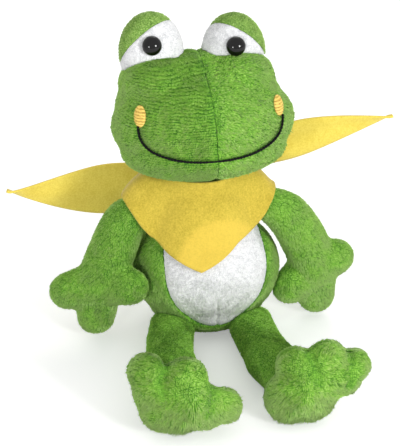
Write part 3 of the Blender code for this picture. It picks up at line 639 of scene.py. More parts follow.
@dataclass(frozen=True)
class Weave:
    """How finely the plush forms are meshed."""

    voxel: float = 0.0013
    quick_voxel: float = 0.0022
    cad_voxel: float = 0.0016

    def fused(self, balls: Iterable[Ball], smoothing: int) -> bpy.types.Mesh:
        """Fuse balls into one smooth closed form.

        Args:
            balls: The centres and radii of the balls.
            smoothing: How many rounds of smoothing the form takes at the model's own mesh size.

        Returns:
            The form as even quads, half a voxel wide.
        """
        bm = bmesh.new()
        for centre, radii in balls:
            place = Matrix.Translation(centre) @ Matrix.Diagonal((*radii, 1.0))
            bmesh.ops.create_icosphere(bm, subdivisions=4, radius=1.0, matrix=place)
        voxel = self.voxel
        rounds = max(1, round(smoothing * (self.cad_voxel / voxel) ** 2))
        return run_modifiers(
            mesh_of(bm),
            ("REMESH", {"mode": "VOXEL", "voxel_size": voxel}),
            ("SMOOTH", {"iterations": rounds}),
            ("SUBSURF", {"levels": 1, "render_levels": 1}),
        )


WEAVE = Weave()


@dataclass(frozen=True)
class Coat:
    """How a pile stands."""

    length: float
    lean: float
    tuft: float
    gather: float
    scatter: float
    sink_share: float = 0.50

    @property
    def sink(self) -> float:
        """How far the cloth lies inside the form that the tips reach.

        Returns:
            The depth in metres.
        """
        return self.length * (1.0 - self.lean * 0.5) * self.sink_share


SHORT_COAT = Coat(length=0.0015, lean=0.90, tuft=0.0015, gather=0.38, scatter=0.40)
LONG_COAT = Coat(length=0.0022, lean=1.20, tuft=0.0020, gather=0.42, scatter=0.40)
BELLY_COAT = Coat(length=0.0009, lean=0.50, tuft=0.0014, gather=0.34, scatter=0.40)
CLIPPED_COAT = Coat(length=0.0010, lean=0.60, tuft=0.0013, gather=0.30, scatter=0.40)


@dataclass(frozen=True)
class Plane:
    """A seam's plane."""

    point: Vector
    normal: Vector

    def distance(self, place: Vector) -> float:
        """How far a place is in front of the plane.

        Args:
            place: The place.

        Returns:
            The distance in metres, under 0 behind the plane.
        """
        return (place - self.point).dot(self.normal)


@dataclass(frozen=True)
class Comb:
    """The way a pile is brushed: one flow, and a spread away from a centre."""

    flow: Vector
    centre: Vector = field(default_factory=Vector)
    spread: float = 0.0

    def at(self, place: Vector) -> Vector:
        """The direction at a place.

        Args:
            place: The place.

        Returns:
            The direction, not of unit length.
        """
        return self.flow + (place - self.centre).normalized() * self.spread


class Line:
    """A line of points to measure from."""

    def __init__(self, points: Sequence[Vector]) -> None:
        """Index the points.

        Args:
            points: Places along the line.
        """
        self.tree = KDTree(len(points))
        for index, point in enumerate(points):
            self.tree.insert(point, index)
        self.tree.balance()

    def distance(self, place: Vector) -> float:
        """How far a place is from the nearest point.

        Args:
            place: The place.

        Returns:
            The distance in metres.
        """
        return self.tree.find(place)[2]


@dataclass(frozen=True)
class Groove:
    """How the cloth lies along a seam, a fold or a parting.

    Args:
        reach: How far from the line the cloth is drawn in and the pile is shorter.
        depth: How deep the line lies.
        left: The share of the pile that stands at the line, which also sets how much painted shade darkens
            the line.
    """

    reach: float
    depth: float
    left: float


BELLY_SEAM = Groove(0.0022, 0.0009, 0.75)
PANEL_SEAM = Groove(0.0022, 0.0008, 0.6)
BELLY_TUCK = Groove(0.0016, 0.0010, 0.9)
CHEST_PARTING = Groove(0.0040, 0.0, 0.2)
ARM_PARTING = Groove(0.0036, 0.0, 0.1)
HEAD_SEAM = Groove(0.0026, 0.0005, 0.5)
SMILE_PARTING = Groove(0.0016, 0.0004, 0.12)
DOT_PARTING = Groove(0.0030, 0.0002, 0.0)
LID_SEAM = Groove(0.0012, 0.0002, 0.8)
EYE_WHITE_SEAM = Groove(0.0012, 0.0004, 0.7)
EYE_PARTING = Groove(0.0050, 0.0006, 0.0)
FOOT_RIM = Groove(0.0034, 0.0005, 0.25)
TOE_FOLD = Groove(0.0036, 0.0014, 0.15)


class Plush:
    """A stuffed skin in the making: a closed surface that is cut, pressed and then grows its pile."""

    rim_share = 0.3
    bare_share = 0.04
    slip_share = 0.22
    # The tip mark where no pile stands: painted shade.
    bare_shade_mark = 0.35
    mark_range = (0.62, 1.08)
    swirl_scale = 0.35
    swirl_share = 0.8
    stray_share = 0.35

    def __init__(self, form: bpy.types.Mesh, coat: Coat) -> None:
        """Start from a form and draw the cloth in by the pile's depth.

        Args:
            form: The closed form that the pile's tips reach.
            coat: The pile.
        """
        self.coat = coat
        self.bm = bmesh_of(form)
        self.pile = self.bm.verts.layers.float.new("pile")
        self.bm.normal_update()
        for vert in self.bm.verts:
            vert[self.pile] = 1.0
        moves = [vert.normal * coat.sink for vert in self.bm.verts]
        for vert, move in zip(self.bm.verts, moves):
            vert.co -= move

    def tree(self) -> BVHTree:
        """A search tree over the cloth.

        Returns:
            The tree.
        """
        return BVHTree.FromBMesh(self.bm)

    def keep_half(self, point: Vector, normal: Vector) -> "Plush":
        """Cut the form flat and close it.

        Args:
            point: A point on the plane.
            normal: The direction of the side that goes.

        Returns:
            This skin.
        """
        geometry = [*self.bm.verts, *self.bm.edges, *self.bm.faces]
        found = bmesh.ops.bisect_plane(
            self.bm, geom=geometry, plane_co=point, plane_no=normal, clear_outer=True, dist=1e-6
        )
        rim = [item for item in found["geom_cut"] if isinstance(item, bmesh.types.BMEdge)]
        for vert in {vert for edge in rim for vert in edge.verts}:
            vert[self.pile] = min(vert[self.pile], self.rim_share)
        capped = bmesh.ops.holes_fill(self.bm, edges=rim)["faces"]
        centre = bmesh.ops.poke(self.bm, faces=capped)["verts"]
        for vert in centre:
            vert[self.pile] = 0.0
        return self

    def draw_out(self, tree: BVHTree, target: Vector, sink: float) -> "Plush":
        """Draw what lies inside a neighbour towards a place outside it, up to the neighbour's surface.

        Args:
            tree: The neighbour's surface.
            target: The place, which the whole skin can see.
            sink: How far under the surface it stops.

        Returns:
            This skin.
        """
        for vert in self.bm.verts:
            way = vert.co - target
            hit, normal, _, _ = tree.ray_cast(target, way.normalized(), way.length + sink)
            if hit is not None and (hit - target).length < way.length:
                vert.co = hit - normal * sink
                vert[self.pile] = 0.0
        return self

    def press(self, tree: BVHTree, clearance: float, fade: float = 0.0015) -> "Plush":
        """Push the cloth out of a neighbour and clear the pile there.

        Args:
            tree: The neighbour's surface.
            clearance: The room left between the two.
            fade: Over what distance the pile comes back.

        Returns:
            This skin.
        """
        for vert in self.bm.verts:
            nearest, normal, _, _ = tree.find_nearest(vert.co)
            height = (vert.co - nearest).dot(normal) - clearance
            if height < 0.0:
                vert.co = nearest + normal * clearance
            vert[self.pile] *= min(1.0, max(0.0, height / fade))
        return self

    def tuck_under(self, tree: BVHTree, fade: float = 0.0015) -> "Plush":
        """Clear the pile of what lies inside a neighbour.

        Args:
            tree: The neighbour's surface.
            fade: Over what distance outside it the pile comes back.

        Returns:
            This skin.
        """
        for vert in self.bm.verts:
            nearest, normal, _, _ = tree.find_nearest(vert.co)
            vert[self.pile] *= min(1.0, max(0.0, (vert.co - nearest).dot(normal) / fade))
        return self

    def rest_on(self, height: float, fade: float = 0.0025) -> "Plush":
        """Flatten the underside on the floor.

        Args:
            height: The floor's height.
            fade: Over what height the pile comes back.

        Returns:
            This skin.
        """
        for vert in self.bm.verts:
            above = vert.co.z - height
            if above < 0.0:
                vert.co.z = height
            vert[self.pile] *= min(1.0, max(0.0, above / fade))
        return self

    def furrow(self, distance: Callable[[Vector], float], groove: Groove) -> "Plush":
        """Draw the cloth in along a seam and shorten the pile there.

        Args:
            distance: How far a place is from the seam.
            groove: How the cloth lies there.

        Returns:
            This skin.
        """
        moves = []
        for vert in self.bm.verts:
            share = max(0.0, 1.0 - abs(distance(vert.co)) / groove.reach)
            if share > 0.0:
                moves.append((vert, vert.normal * groove.depth * share * share, share))
        for vert, move, share in moves:
            vert.co -= move
            vert[self.pile] *= 1.0 - (1.0 - groove.left) * share
        return self

    def part_along(self, points: Sequence[Vector], groove: Groove) -> "Plush":
        """Part the pile round a line of points.

        Args:
            points: Places along the line.
            groove: How the cloth lies there.

        Returns:
            This skin.
        """
        return self.furrow(Line(points).distance, groove)

    def grow(self, name: str, finish: bpy.types.Material, comb: Comb) -> bpy.types.Object:
        """Grow the pile and finish the piece.

        Args:
            name: The piece's name.
            finish: Its material.
            comb: The way that the pile is brushed.

        Returns:
            The new object.
        """
        chance = random.Random(name)
        base = mesh_of(self.bm)
        self.bm = bmesh_of(add_bake_map(base))
        self.pile = self.bm.verts.layers.float["pile"]
        tip_mark = self.bm.verts.layers.float.new(TIP_MARK)
        self.bm.normal_update()
        cell = math.sqrt(sum(face.calc_area() for face in self.bm.faces[:200]) / 200.0)
        for vert in self.bm.verts:
            if vert[self.pile] > self.rim_share:
                slip = Vector([chance.uniform(-self.slip_share, self.slip_share) for _ in range(3)]) * cell
                vert.co += slip - vert.normal * slip.dot(vert.normal)
        hairy = [
            face for face in self.bm.faces if min(vert[self.pile] for vert in face.verts) > self.bare_share
        ]
        tips = bmesh.ops.poke(self.bm, faces=hairy)["verts"]
        self.bm.normal_update()
        moves = []
        for vert in tips:
            roots = [edge.other_vert(vert) for edge in vert.link_edges]
            share = sum(shaded_root[self.pile] for shaded_root in roots) / len(roots)
            # The mark drops with the pile's share, so seams, folds, partings, the floor and the places
            # pressed against a neighbour get painted shade; bare cloth keeps a mark of 0, the root colour's
            # painted shade.
            mark = (self.bare_shade_mark + (1.0 - self.bare_shade_mark) * share) * chance.uniform(*self.mark_range)
            moves.append((vert, self._reach(vert, share, comb, chance), mark))
        for vert, move, mark in moves:
            vert.co += move
            vert[tip_mark] = mark
        return add_piece(name, mesh_of(self.bm), finish)

    def _reach(self, vert: bmesh.types.BMVert, share: float, comb: Comb, chance: random.Random) -> Vector:
        """Work out where a strand's tip goes.

        Args:
            vert: The strand's tip, still at its root.
            share: The share of the full length that stands here.
            comb: The brushing.
            chance: The piece's own random numbers.

        Returns:
            The way from the root to the tip.
        """
        coat = self.coat
        normal = vert.normal
        swirl = noise.noise_vector(vert.co * (self.swirl_scale / coat.tuft)) * self.swirl_share
        flow = comb.at(vert.co) + swirl
        flow = flow - normal * flow.dot(normal)
        length = coat.length * share * (1.0 - coat.scatter * chance.random())
        centre = noise.voronoi(vert.co / coat.tuft)[1][0] * coat.tuft
        pull = centre - vert.co
        pull = (pull - normal * pull.dot(normal)) * coat.gather * share
        stray = Vector([chance.uniform(-1.0, 1.0) for _ in range(3)])
        stray *= coat.scatter * length * self.stray_share
        return normal * length * (1.0 - coat.lean * 0.5) + flow * length * coat.lean + pull + stray


def swept(bm: bmesh.types.BMesh, path: Sequence[Vector], radius: float, sides: int) -> None:
    """Add a closed round strand along a path.

    Args:
        bm: The bmesh that it goes into.
        path: Its places.
        radius: Its radius.
        sides: How many sides it has.
    """
    frames = []
    for index, place in enumerate(path):
        ahead = path[min(index + 1, len(path) - 1)] - path[max(index - 1, 0)]
        turn = ahead.to_track_quat("Z", "Y").to_matrix().to_4x4()
        frames.append(Matrix.Translation(place) @ turn)
    ring = bmesh.ops.create_circle(bm, segments=sides, radius=radius, cap_ends=False, matrix=frames[0])
    edges = list({edge for vert in ring["verts"] for edge in vert.link_edges})
    bmesh.ops.holes_fill(bm, edges=edges)
    for before, after in zip(frames, frames[1:]):
        made = bmesh.ops.extrude_edge_only(bm, edges=edges)["geom"]
        verts = [item for item in made if isinstance(item, bmesh.types.BMVert)]
        edges = [
            item for item in made
            if isinstance(item, bmesh.types.BMEdge) and all(vert in set(verts) for vert in item.verts)
        ]
        bmesh.ops.transform(bm, matrix=after @ before.inverted(), verts=verts)
    bmesh.ops.holes_fill(bm, edges=edges)


@dataclass(frozen=True)
class TwistedThread:
    """Thread of two plies laid round each other."""

    ply_radius: float = 0.00034
    wind_share: float = 0.9
    lay: float = 0.0026
    plies: int = 2
    sides: int = 8

    def mesh(self, path: Sequence[tuple[Vector, Vector]]) -> bpy.types.Mesh:
        """Lay the thread along a path.

        Args:
            path: Its places, each with the direction away from the cloth.

        Returns:
            The mesh.
        """
        bm = bmesh.new()
        for ply in range(self.plies):
            travelled = 0.0
            strand = []
            for index, (place, away) in enumerate(path):
                if index:
                    travelled += (place - path[index - 1][0]).length
                ahead = (path[min(index + 1, len(path) - 1)][0] - path[max(index - 1, 0)][0]).normalized()
                side = ahead.cross(away).normalized()
                angle = math.tau * (travelled / self.lay + ply / self.plies)
                round_it = away * math.sin(angle) + side * math.cos(angle)
                strand.append(place + round_it * self.ply_radius * self.wind_share)
            swept(bm, strand, self.ply_radius, self.sides)
        bmesh.ops.recalc_face_normals(bm, faces=bm.faces)
        return mesh_of(bm)


# The frog's sub-assemblies


@dataclass
class Torso:
    """The pear-shaped torso and its white belly panel."""

    half_width: float = 0.0325
    half_depth: float = 0.0260
    low_half_height: float = 0.0265
    chest_radii: tuple[float, float, float] = (0.0235, 0.0190, 0.0215)
    chest_height: float = 0.0500
    chest_set_back: float = 0.0030
    seat_radii: tuple[float, float, float] = (0.0230, 0.0190, 0.0055)
    seat_cut: float = 0.0005
    sidestep: float = -0.0010
    haunch_radii: tuple[float, float, float] = (0.0258, 0.0236, 0.0105)
    neck: Vector = field(default_factory=lambda: Vector((-0.0036, 0.0040, 0.0770)))
    neck_radius: float = 0.0120
    smoothing: int = 4
    belly_radii: tuple[float, float] = (0.0219, 0.0265)
    belly_centre: tuple[float, float] = (0.0020, 0.0360)
    belly_lean: float = 0.0030
    panel_thickness: float = 0.0012
    crease_top: float = 0.0240
    seat_gap: float = 0.0002

    def build(self) -> "Torso":
        """Make the form that the rest of the frog is set against.

        Returns:
            This torso.
        """
        aside = Vector((self.sidestep, 0.0, 0.0))
        balls = [
            (aside + UP * (self.seat_radii[2] - self.seat_cut), self.seat_radii),
            (aside + UP * self.haunch_radii[2], self.haunch_radii),
            (aside + UP * self.low_half_height, (self.half_width, self.half_depth, self.low_half_height)),
            (aside + Vector((0.0, self.chest_set_back, self.chest_height)), self.chest_radii),
            (self.neck, (self.neck_radius,) * 3),
        ]
        self.form = WEAVE.fused(balls, self.smoothing)
        self.tree = tree_of(self.form)
        self.cloth_tree = Plush(self.form, SHORT_COAT).tree()
        return self

    def cloth_seen_from(self, pivot: Vector, axis: Vector, angle: float) -> BVHTree:
        """Find the torso's cloth as a limb meets it once the limb has turned.

        Args:
            pivot: The joint's place.
            axis: The joint's axis.
            angle: How far the limb has turned.

        Returns:
            A search tree over the cloth, turned back by the same angle.
        """
        cloth = Plush(self.form, SHORT_COAT).bm
        turn = Matrix.Rotation(-angle, 4, axis)
        about = Matrix.Translation(pivot) @ turn @ Matrix.Translation(-pivot)
        bmesh.ops.transform(cloth, matrix=about, verts=cloth.verts)
        tree = BVHTree.FromBMesh(cloth)
        cloth.free()
        return tree

    def oval(self, place: Vector) -> float:
        """How far a place is from the belly's outline, under 0 inside it.

        Args:
            place: A place on the torso.

        Returns:
            The distance in metres, roughly.
        """
        if place.y > 0.0:
            return self.belly_radii[0]
        up = (place.z - self.belly_centre[1]) / self.belly_radii[1]
        across = (place.x - self.belly_centre[0] + self.belly_lean * max(0.0, up)) / self.belly_radii[0]
        return (math.hypot(across, up) - 1.0) * self.belly_radii[0]

    def crease(self, place: Vector) -> float:
        """How far a place is from the short tuck at the belly's foot.

        Args:
            place: A place on the belly.

        Returns:
            The distance in metres.
        """
        return math.hypot(place.x - self.belly_centre[0], max(0.0, place.z - self.crease_top))

    def dress(self, bandana_points: Sequence[Vector]) -> None:
        """Cover the torso and its belly panel with pile.

        Args:
            bandana_points: Places on the bandana, under which the pile lies flat.
        """
        skin = Plush(self.form, SHORT_COAT)
        skin.furrow(self.oval, BELLY_SEAM)
        for vert in skin.bm.verts:
            if self.oval(vert.co) < 0.0:
                vert.co -= vert.normal * self.panel_thickness
                vert[skin.pile] = 0.0
        skin.part_along(bandana_points, CHEST_PARTING).rest_on(self.seat_gap)
        piece = skin.grow("torso_plush", GREEN_PLUSH.material(), Comb(Vector((0.0, -0.15, -1.0))))
        attach(piece, "torso", "torso_skin", fill=0.7)

        panel = Plush(self.form, BELLY_COAT)
        panel.furrow(self.oval, PANEL_SEAM)
        panel.furrow(self.crease, BELLY_TUCK)
        outside = [face for face in panel.bm.faces if self.oval(face.calc_center_median()) > 0.0]
        bmesh.ops.delete(panel.bm, geom=outside, context="FACES")
        for vert in panel.bm.verts:
            if vert.is_boundary:
                share = 1.0 + self.oval(vert.co) / self.belly_radii[0]
                up = vert.co.z - self.belly_centre[1]
                middle = self.belly_centre[0] - self.belly_lean * max(0.0, up) / self.belly_radii[1]
                vert.co.x = middle + (vert.co.x - middle) / share
                vert.co.z = self.belly_centre[1] + up / share
        outer = list(panel.bm.faces)
        made = bmesh.ops.solidify(panel.bm, geom=outer, thickness=self.panel_thickness)["geom"]
        for item in made:
            if isinstance(item, bmesh.types.BMVert):
                item[panel.pile] = 0.0
        bmesh.ops.recalc_face_normals(panel.bm, faces=panel.bm.faces)
        panel.part_along(bandana_points, CHEST_PARTING)
        finish = WHITE_PLUSH.material()
        middle = Vector((self.belly_centre[0], -self.half_depth, self.belly_centre[1]))
        spread = panel.grow("belly_plush", finish, Comb(UP * -0.85, middle, 0.5))
        attach(spread, "torso", "belly_panel", fill=0.7)


def attach(piece: bpy.types.Object, body: str, *nodes: str, fill: float | None = None) -> bpy.types.Object:
    """Make a piece ride on a body in place of CAD nodes.

    Args:
        piece: The piece.
        body: The body's name.
        nodes: The nodes that it stands for.
        fill: How full a stuffed piece is, from 0 to 1; not used.

    Returns:
        The piece.
    """
    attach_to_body(piece, body)
    if nodes:
        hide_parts(*nodes)
    log.info("%s rides on %s: %d faces", piece.name, body, len(piece.data.polygons))
    return piece


@dataclass
class Head:
    """The wide-mouthed head in two halves, with eye turrets, smile and cheek dots."""

    pivot: Vector
    turn: float = math.radians(5.0)
    lift: float = math.radians(-10.0)
    seam_lean: float = math.radians(-3.0)
    face_sidestep: float = 0.0015
    seam_sidestep: float = 0.0035
    seam_gap: float = 0.0001
    smoothing: int = 12
    skull: Ball = (Vector((0.0007, 0.0, 0.0235)), (0.0356, 0.0210, 0.0240))
    muzzle: Ball = (Vector((0.0007, -0.0095, 0.0195)), (0.0385, 0.0220, 0.0215))
    jaw: Ball = (Vector((0.0007, -0.0100, 0.0080)), (0.0350, 0.0205, 0.0130))
    brow_radii: tuple[float, float, float] = (0.0157, 0.0165, 0.0112)
    brow_out: float = 0.0163
    brow_reach: float = 0.0042
    brow_height: float = 0.0361
    brow_back_radii: tuple[float, float, float] = (0.0163, 0.0168, 0.0113)
    brow_back_out: float = 0.0165
    brow_back_height: float = 0.0352
    turret_radii: tuple[float, float, float] = (0.0135, 0.0100, 0.0170)
    turret_out: float = 0.0172
    turret_sidestep: float = -0.0012
    turret_set_back: float = 0.0005
    turret_heights: dict[Side, float] = field(
        default_factory=lambda: {Side.LEFT: 0.0449, Side.RIGHT: 0.0474}
    )
    turret_sink: float = 0.0003
    lid_offset: float = 0.0043
    lid_lean: tuple[float, float, float] = (0.50, 0.55, 0.67)
    eye_sidestep: float = -0.0008
    eye_rise: float = 0.0048
    eye_radius: float = 0.0040
    eye_dome: float = 0.0030
    eye_rim_share: float = 0.06
    eye_dome_steps: int = 14
    eye_turn_steps: int = 56
    post_radius: float = 0.0014
    post_length: float = 0.0065
    smile_half_width: float = 0.0293
    smile_end_height: float = 0.0232
    smile_depth: float = 0.0150
    smile_fullness: float = 2.5
    smile_steps: int = 140
    thread_lift: float = 0.0008
    dot_radii: tuple[float, float, float] = (0.0026, 0.0011, 0.0045)
    dot_out: float = 0.0285
    dot_height: float = 0.0270
    dot_stitch: float = 0.00042
    dot_ridge: float = 0.16
    dot_ridge_across: float = 0.07
    dot_fringe: float = 0.16
    dot_rows: tuple[float, ...] = (-0.7, -0.35, 0.0, 0.35, 0.7)

    def place(self) -> Matrix:
        """The head's turn and raise about the neck.

        Returns:
            The head's frame.
        """
        turn = Matrix.Rotation(self.turn, 4, "Z")
        return Matrix.Translation(self.pivot) @ turn @ Matrix.Rotation(self.lift, 4, "X")

    def on_surface(self, across: float, up: float) -> tuple[Vector, Vector]:
        """Find the face's surface.

        Args:
            across: How far to the frog's left.
            up: How far above the neck.

        Returns:
            The place and the direction out of it.
        """
        start = self.place() @ Vector((across, -1.0, up))
        spot, normal, _, _ = self.tree.ray_cast(start, self.place().to_3x3() @ -FRONT)
        return spot, normal

    def build(self) -> "Head":
        """Make the head's form.

        Returns:
            This head.
        """
        balls = [self.skull, self.muzzle, self.jaw]
        for side in Side:
            brow = Vector((side.sign * self.brow_out, -self.brow_reach, self.brow_height))
            balls.append((brow, self.brow_radii))
            back = Vector((side.sign * self.brow_back_out, 0.0, self.brow_back_height))
            balls.append((back, self.brow_back_radii))
        self.form = WEAVE.fused(balls, self.smoothing)
        self.form.transform(self.place())
        self.tree = tree_of(self.form)
        return self

    def smile_path(self) -> list[tuple[Vector, Vector]]:
        """The smile's places, each with the direction out of the face.

        Returns:
            The path, from the frog's right to its left.
        """
        path = []
        for index in range(self.smile_steps + 1):
            angle = math.pi * index / self.smile_steps
            across = math.copysign(abs(math.cos(angle)) ** (2.0 / self.smile_fullness), -math.cos(angle))
            down = math.sin(angle) ** (2.0 / self.smile_fullness)
            up = self.smile_end_height - self.smile_depth * down
            spot, normal = self.on_surface(self.face_sidestep + self.smile_half_width * across, up)
            path.append((spot + normal * self.thread_lift, normal))
        return path

    def dress(self, torso: Torso) -> None:
        """Cover the head, and add its eyes, smile and dots.

        Args:
            torso: The torso, whose neck turns inside the head.
        """
        smile = self.smile_path()
        line = [place - normal * (self.thread_lift + SHORT_COAT.sink) for place, normal in smile]
        lean = Matrix.Rotation(self.seam_lean, 3, "Y")
        across = self.place().to_3x3() @ lean @ Vector((1.0, 0.0, 0.0))
        finishes = {Side.LEFT: GREEN_PLUSH.material(), Side.RIGHT: MUZZLE_PLUSH.material()}
        for side in Side:
            edge = self.pivot + across * (self.seam_sidestep + side.sign * self.seam_gap / 2.0)
            skin = Plush(self.form, SHORT_COAT).furrow(Plane(edge, across).distance, HEAD_SEAM)
            skin.keep_half(edge, across * -side.sign)
            skin.part_along(line, SMILE_PARTING)
            spot, normal = self.on_surface(self.face_sidestep + side.sign * self.dot_out, self.dot_height)
            patch = [spot + UP * (self.dot_radii[2] * share) for share in self.dot_rows]
            skin.part_along(patch, DOT_PARTING)
            skin.tuck_under(torso.cloth_tree)
            outward = Comb(Vector((side.sign * 0.9, 0.0, -0.45)))
            piece = skin.grow(f"head_plush_{side.value}", finishes[side], outward)
            attach(piece, "head", f"head_skin_{side.value}", fill=0.8)
            self.dress_turret(side)
            self.add_dot(side, spot, normal)
        thread = add_piece("smile_thread", TwistedThread().mesh(smile), BLACK_THREAD.material())
        attach(thread, "head", "smile_stitching")

    def turret_place(self, side: Side) -> Matrix:
        """An eye turret's own frame.

        Args:
            side: The turret's side.

        Returns:
            The frame.
        """
        across = side.sign * self.turret_out + self.turret_sidestep
        centre = self.place() @ Vector((across, self.turret_set_back, self.turret_heights[side]))
        return Matrix.Translation(centre) @ self.place().to_3x3().to_4x4()

    def eye_place(self, side: Side) -> Matrix:
        """A safety eye's frame, whose Z points out of the face.

        Args:
            side: The eye's side.

        Returns:
            The frame.
        """
        width, depth, height = self.turret_radii
        reach = depth * math.sqrt(1.0 - (self.eye_rise / height) ** 2 - (self.eye_sidestep / width) ** 2)
        spot = Vector((self.eye_sidestep, -reach, self.eye_rise))
        outward = Vector((spot.x / width**2, spot.y / depth**2, spot.z / height**2)).normalized()
        turn = outward.to_track_quat("Z", "Y").to_matrix().to_4x4()
        return self.turret_place(side) @ Matrix.Translation(spot) @ turn

    def dress_turret(self, side: Side) -> None:
        """Cover one eye turret with its lid and white, and set its safety eye.

        Args:
            side: The turret's side.
        """
        place = self.turret_place(side)
        form = WEAVE.fused([(Vector(), self.turret_radii)], 0)
        form.transform(place)
        lean = Vector(self.lid_lean)
        lean.x *= side.sign
        normal = (place.to_3x3() @ lean).normalized()
        edge = place.translation + normal * self.lid_offset
        eye = self.eye_place(side)
        seam = Plane(edge, normal).distance

        lid = Plush(form, CLIPPED_COAT).furrow(seam, LID_SEAM)
        lid.keep_half(edge + normal * self.seam_gap, -normal)
        lid.draw_out(self.tree, eye.translation, self.turret_sink)
        piece = lid.grow(f"eyelid_plush_{side.value}", LID_PLUSH.material(), Comb(-normal))
        attach(piece, "head", f"eyelid_{side.value}", fill=0.9)

        ring = [eye @ Vector((0.0, 0.0, -CLIPPED_COAT.sink))]
        white = Plush(form, CLIPPED_COAT).furrow(seam, EYE_WHITE_SEAM)
        white.part_along(ring, EYE_PARTING).keep_half(edge, normal)
        white.draw_out(self.tree, eye.translation, self.turret_sink)
        finish = WHITE_PLUSH.material()
        piece = white.grow(f"eye_white_plush_{side.value}", finish, Comb(normal * -0.6))
        attach(piece, "head", f"eye_white_{side.value}", fill=0.9)
        self.add_eye(side, eye)

    def add_eye(self, side: Side, place: Matrix) -> None:
        """Set a domed safety eye with its post.

        Args:
            side: Its side.
            place: Its frame.
        """
        rim = self.eye_radius * self.eye_rim_share
        rises = [math.pi / 2.0 * step / self.eye_dome_steps for step in range(self.eye_dome_steps + 1)]
        dome = [
            (self.eye_radius * math.cos(rise), rim * 2.0 + self.eye_dome * math.sin(rise)) for rise in rises
        ]
        post = [(0.0, -self.post_length), (self.post_radius, -self.post_length), (self.post_radius, 0.0)]
        lip = [(self.eye_radius - rim, 0.0), (self.eye_radius, rim)]
        bm = bmesh.new()
        verts = [bm.verts.new((radius, 0.0, height)) for radius, height in [*post, *lip, *dome]]
        edges = [bm.edges.new(pair) for pair in zip(verts, verts[1:])]
        bmesh.ops.spin(
            bm, geom=verts + edges, axis=UP, cent=(0.0, 0.0, 0.0), angle=math.tau,
            steps=self.eye_turn_steps, use_merge=True,
        )
        bmesh.ops.remove_doubles(bm, verts=bm.verts, dist=1e-6)
        bmesh.ops.recalc_face_normals(bm, faces=bm.faces)
        bmesh.ops.transform(bm, matrix=place, verts=bm.verts)
        piece = add_piece(f"glossy_eye_{side.value}", mesh_of(bm), BLACK_PLASTIC.material())
        attach(piece, "head", f"safety_eye_{side.value}")

    def add_dot(self, side: Side, spot: Vector, normal: Vector) -> None:
        """Stitch a cheek dot in satin stitch.

        Args:
            side: Its side.
            spot: Its middle on the face.
            normal: The direction out of the face.
        """
        bm = bmesh.new()
        size = Matrix.Diagonal((*self.dot_radii, 1.0))
        bmesh.ops.create_uvsphere(bm, u_segments=64, v_segments=48, radius=1.0, matrix=size)
        for vert in bm.verts:
            ridge = math.sin(vert.co.z * math.tau / self.dot_stitch)
            fringe = noise.noise(Vector((0.0, 0.0, vert.co.z / self.dot_stitch)))
            vert.co.y *= 1.0 + self.dot_ridge * ridge
            vert.co.x *= 1.0 + self.dot_ridge_across * ridge + self.dot_fringe * fringe
        upright = normal.cross(Vector((1.0, 0.0, 0.0))).normalized()
        facing = Matrix((normal.cross(upright), normal, upright)).transposed().to_4x4()
        bmesh.ops.transform(bm, matrix=Matrix.Translation(spot) @ facing, verts=bm.verts)
        piece = add_piece(f"satin_dot_{side.value}", mesh_of(bm), DOT_SATIN.material())
        attach(piece, "head", f"cheek_dot_{side.value}")


@dataclass
class Arm:
    """An arm with its three-lobed hand."""

    side: Side
    shoulder_out: float = 0.0235
    shoulder_height: float = 0.0570
    shoulder_set_back: float = 0.0010
    length: float = 0.0390
    radius: float = 0.0102
    finger_radius: float = 0.0084
    hand_flatness: float = 0.80
    smoothing: int = 3
    radius_shares: tuple[float, ...] = (0.64, 0.93, 1.0, 1.0)
    right_axis: tuple[float, float, float] = (-0.89126, -0.23767, -0.38622)
    right_inward: float = math.radians(-3.0)

    def path_shares(self) -> tuple[tuple[float, float, float], ...]:
        """The arm's path from the shoulder, in shares of its length.

        Returns:
            The path's points.
        """
        if self.side is Side.LEFT:
            return (0.0, 0.0, 0.0), (0.26, -0.06, -0.14), (0.455, -0.09, -0.44), (0.60, -0.10, -0.80)
        return (0.0, 0.0, 0.0), (-0.30, -0.08, -0.13), (-0.48, -0.20, -0.45), (-0.62, -0.31, -0.76)

    def finger_shares(self) -> tuple[tuple[float, float, float], ...]:
        """The tips of the hand's lobes, in shares of the arm's length.

        Returns:
            The tips.
        """
        if self.side is Side.LEFT:
            return (0.83, -0.10, -0.70), (0.63, -0.10, -1.20), (0.32, -0.17, -1.02)
        return (-0.97, -0.31, -0.86), (-0.68, -0.33, -1.19), (-0.30, -0.47, -0.74)

    def build(self) -> "Arm":
        """Make the arm's form, which the bandana lies on.

        Returns:
            This arm.
        """
        out = self.side.sign * self.shoulder_out
        self.shoulder = Vector((out, self.shoulder_set_back, self.shoulder_height))
        path = [self.shoulder + Vector(row) * self.length for row in self.path_shares()]
        balls = tube_balls(path, [self.radius * share for share in self.radius_shares])
        for row in self.finger_shares():
            tip = self.shoulder + Vector(row) * self.length
            balls += tube_balls([path[-1], tip], [self.radius, self.finger_radius], self.hand_flatness)
        self.form = WEAVE.fused(balls, self.smoothing)
        self.tree = tree_of(self.form)
        self.flow = (path[-1] - path[0]).normalized()
        return self

    def dress(self, torso: Torso, bandana_points: Sequence[Vector]) -> None:
        """Cover the arm with pile.

        Args:
            torso: The torso that its shoulder is pressed on.
            bandana_points: Places on the bandana, under which the pile lies flat.
        """
        skin = Plush(self.form, SHORT_COAT)
        skin.press(torso.cloth_tree, LIMB_CLEARANCE).part_along(bandana_points, ARM_PARTING)
        if self.side is Side.RIGHT:
            turned = torso.cloth_seen_from(self.shoulder, Vector(self.right_axis), self.right_inward)
            skin.press(turned, LIMB_CLEARANCE)
        name = self.side.value
        piece = skin.grow(f"arm_plush_{name}", GREEN_PLUSH.material(), Comb(self.flow))
        attach(piece, f"arm_{name}", f"arm_skin_{name}", fill=0.7)


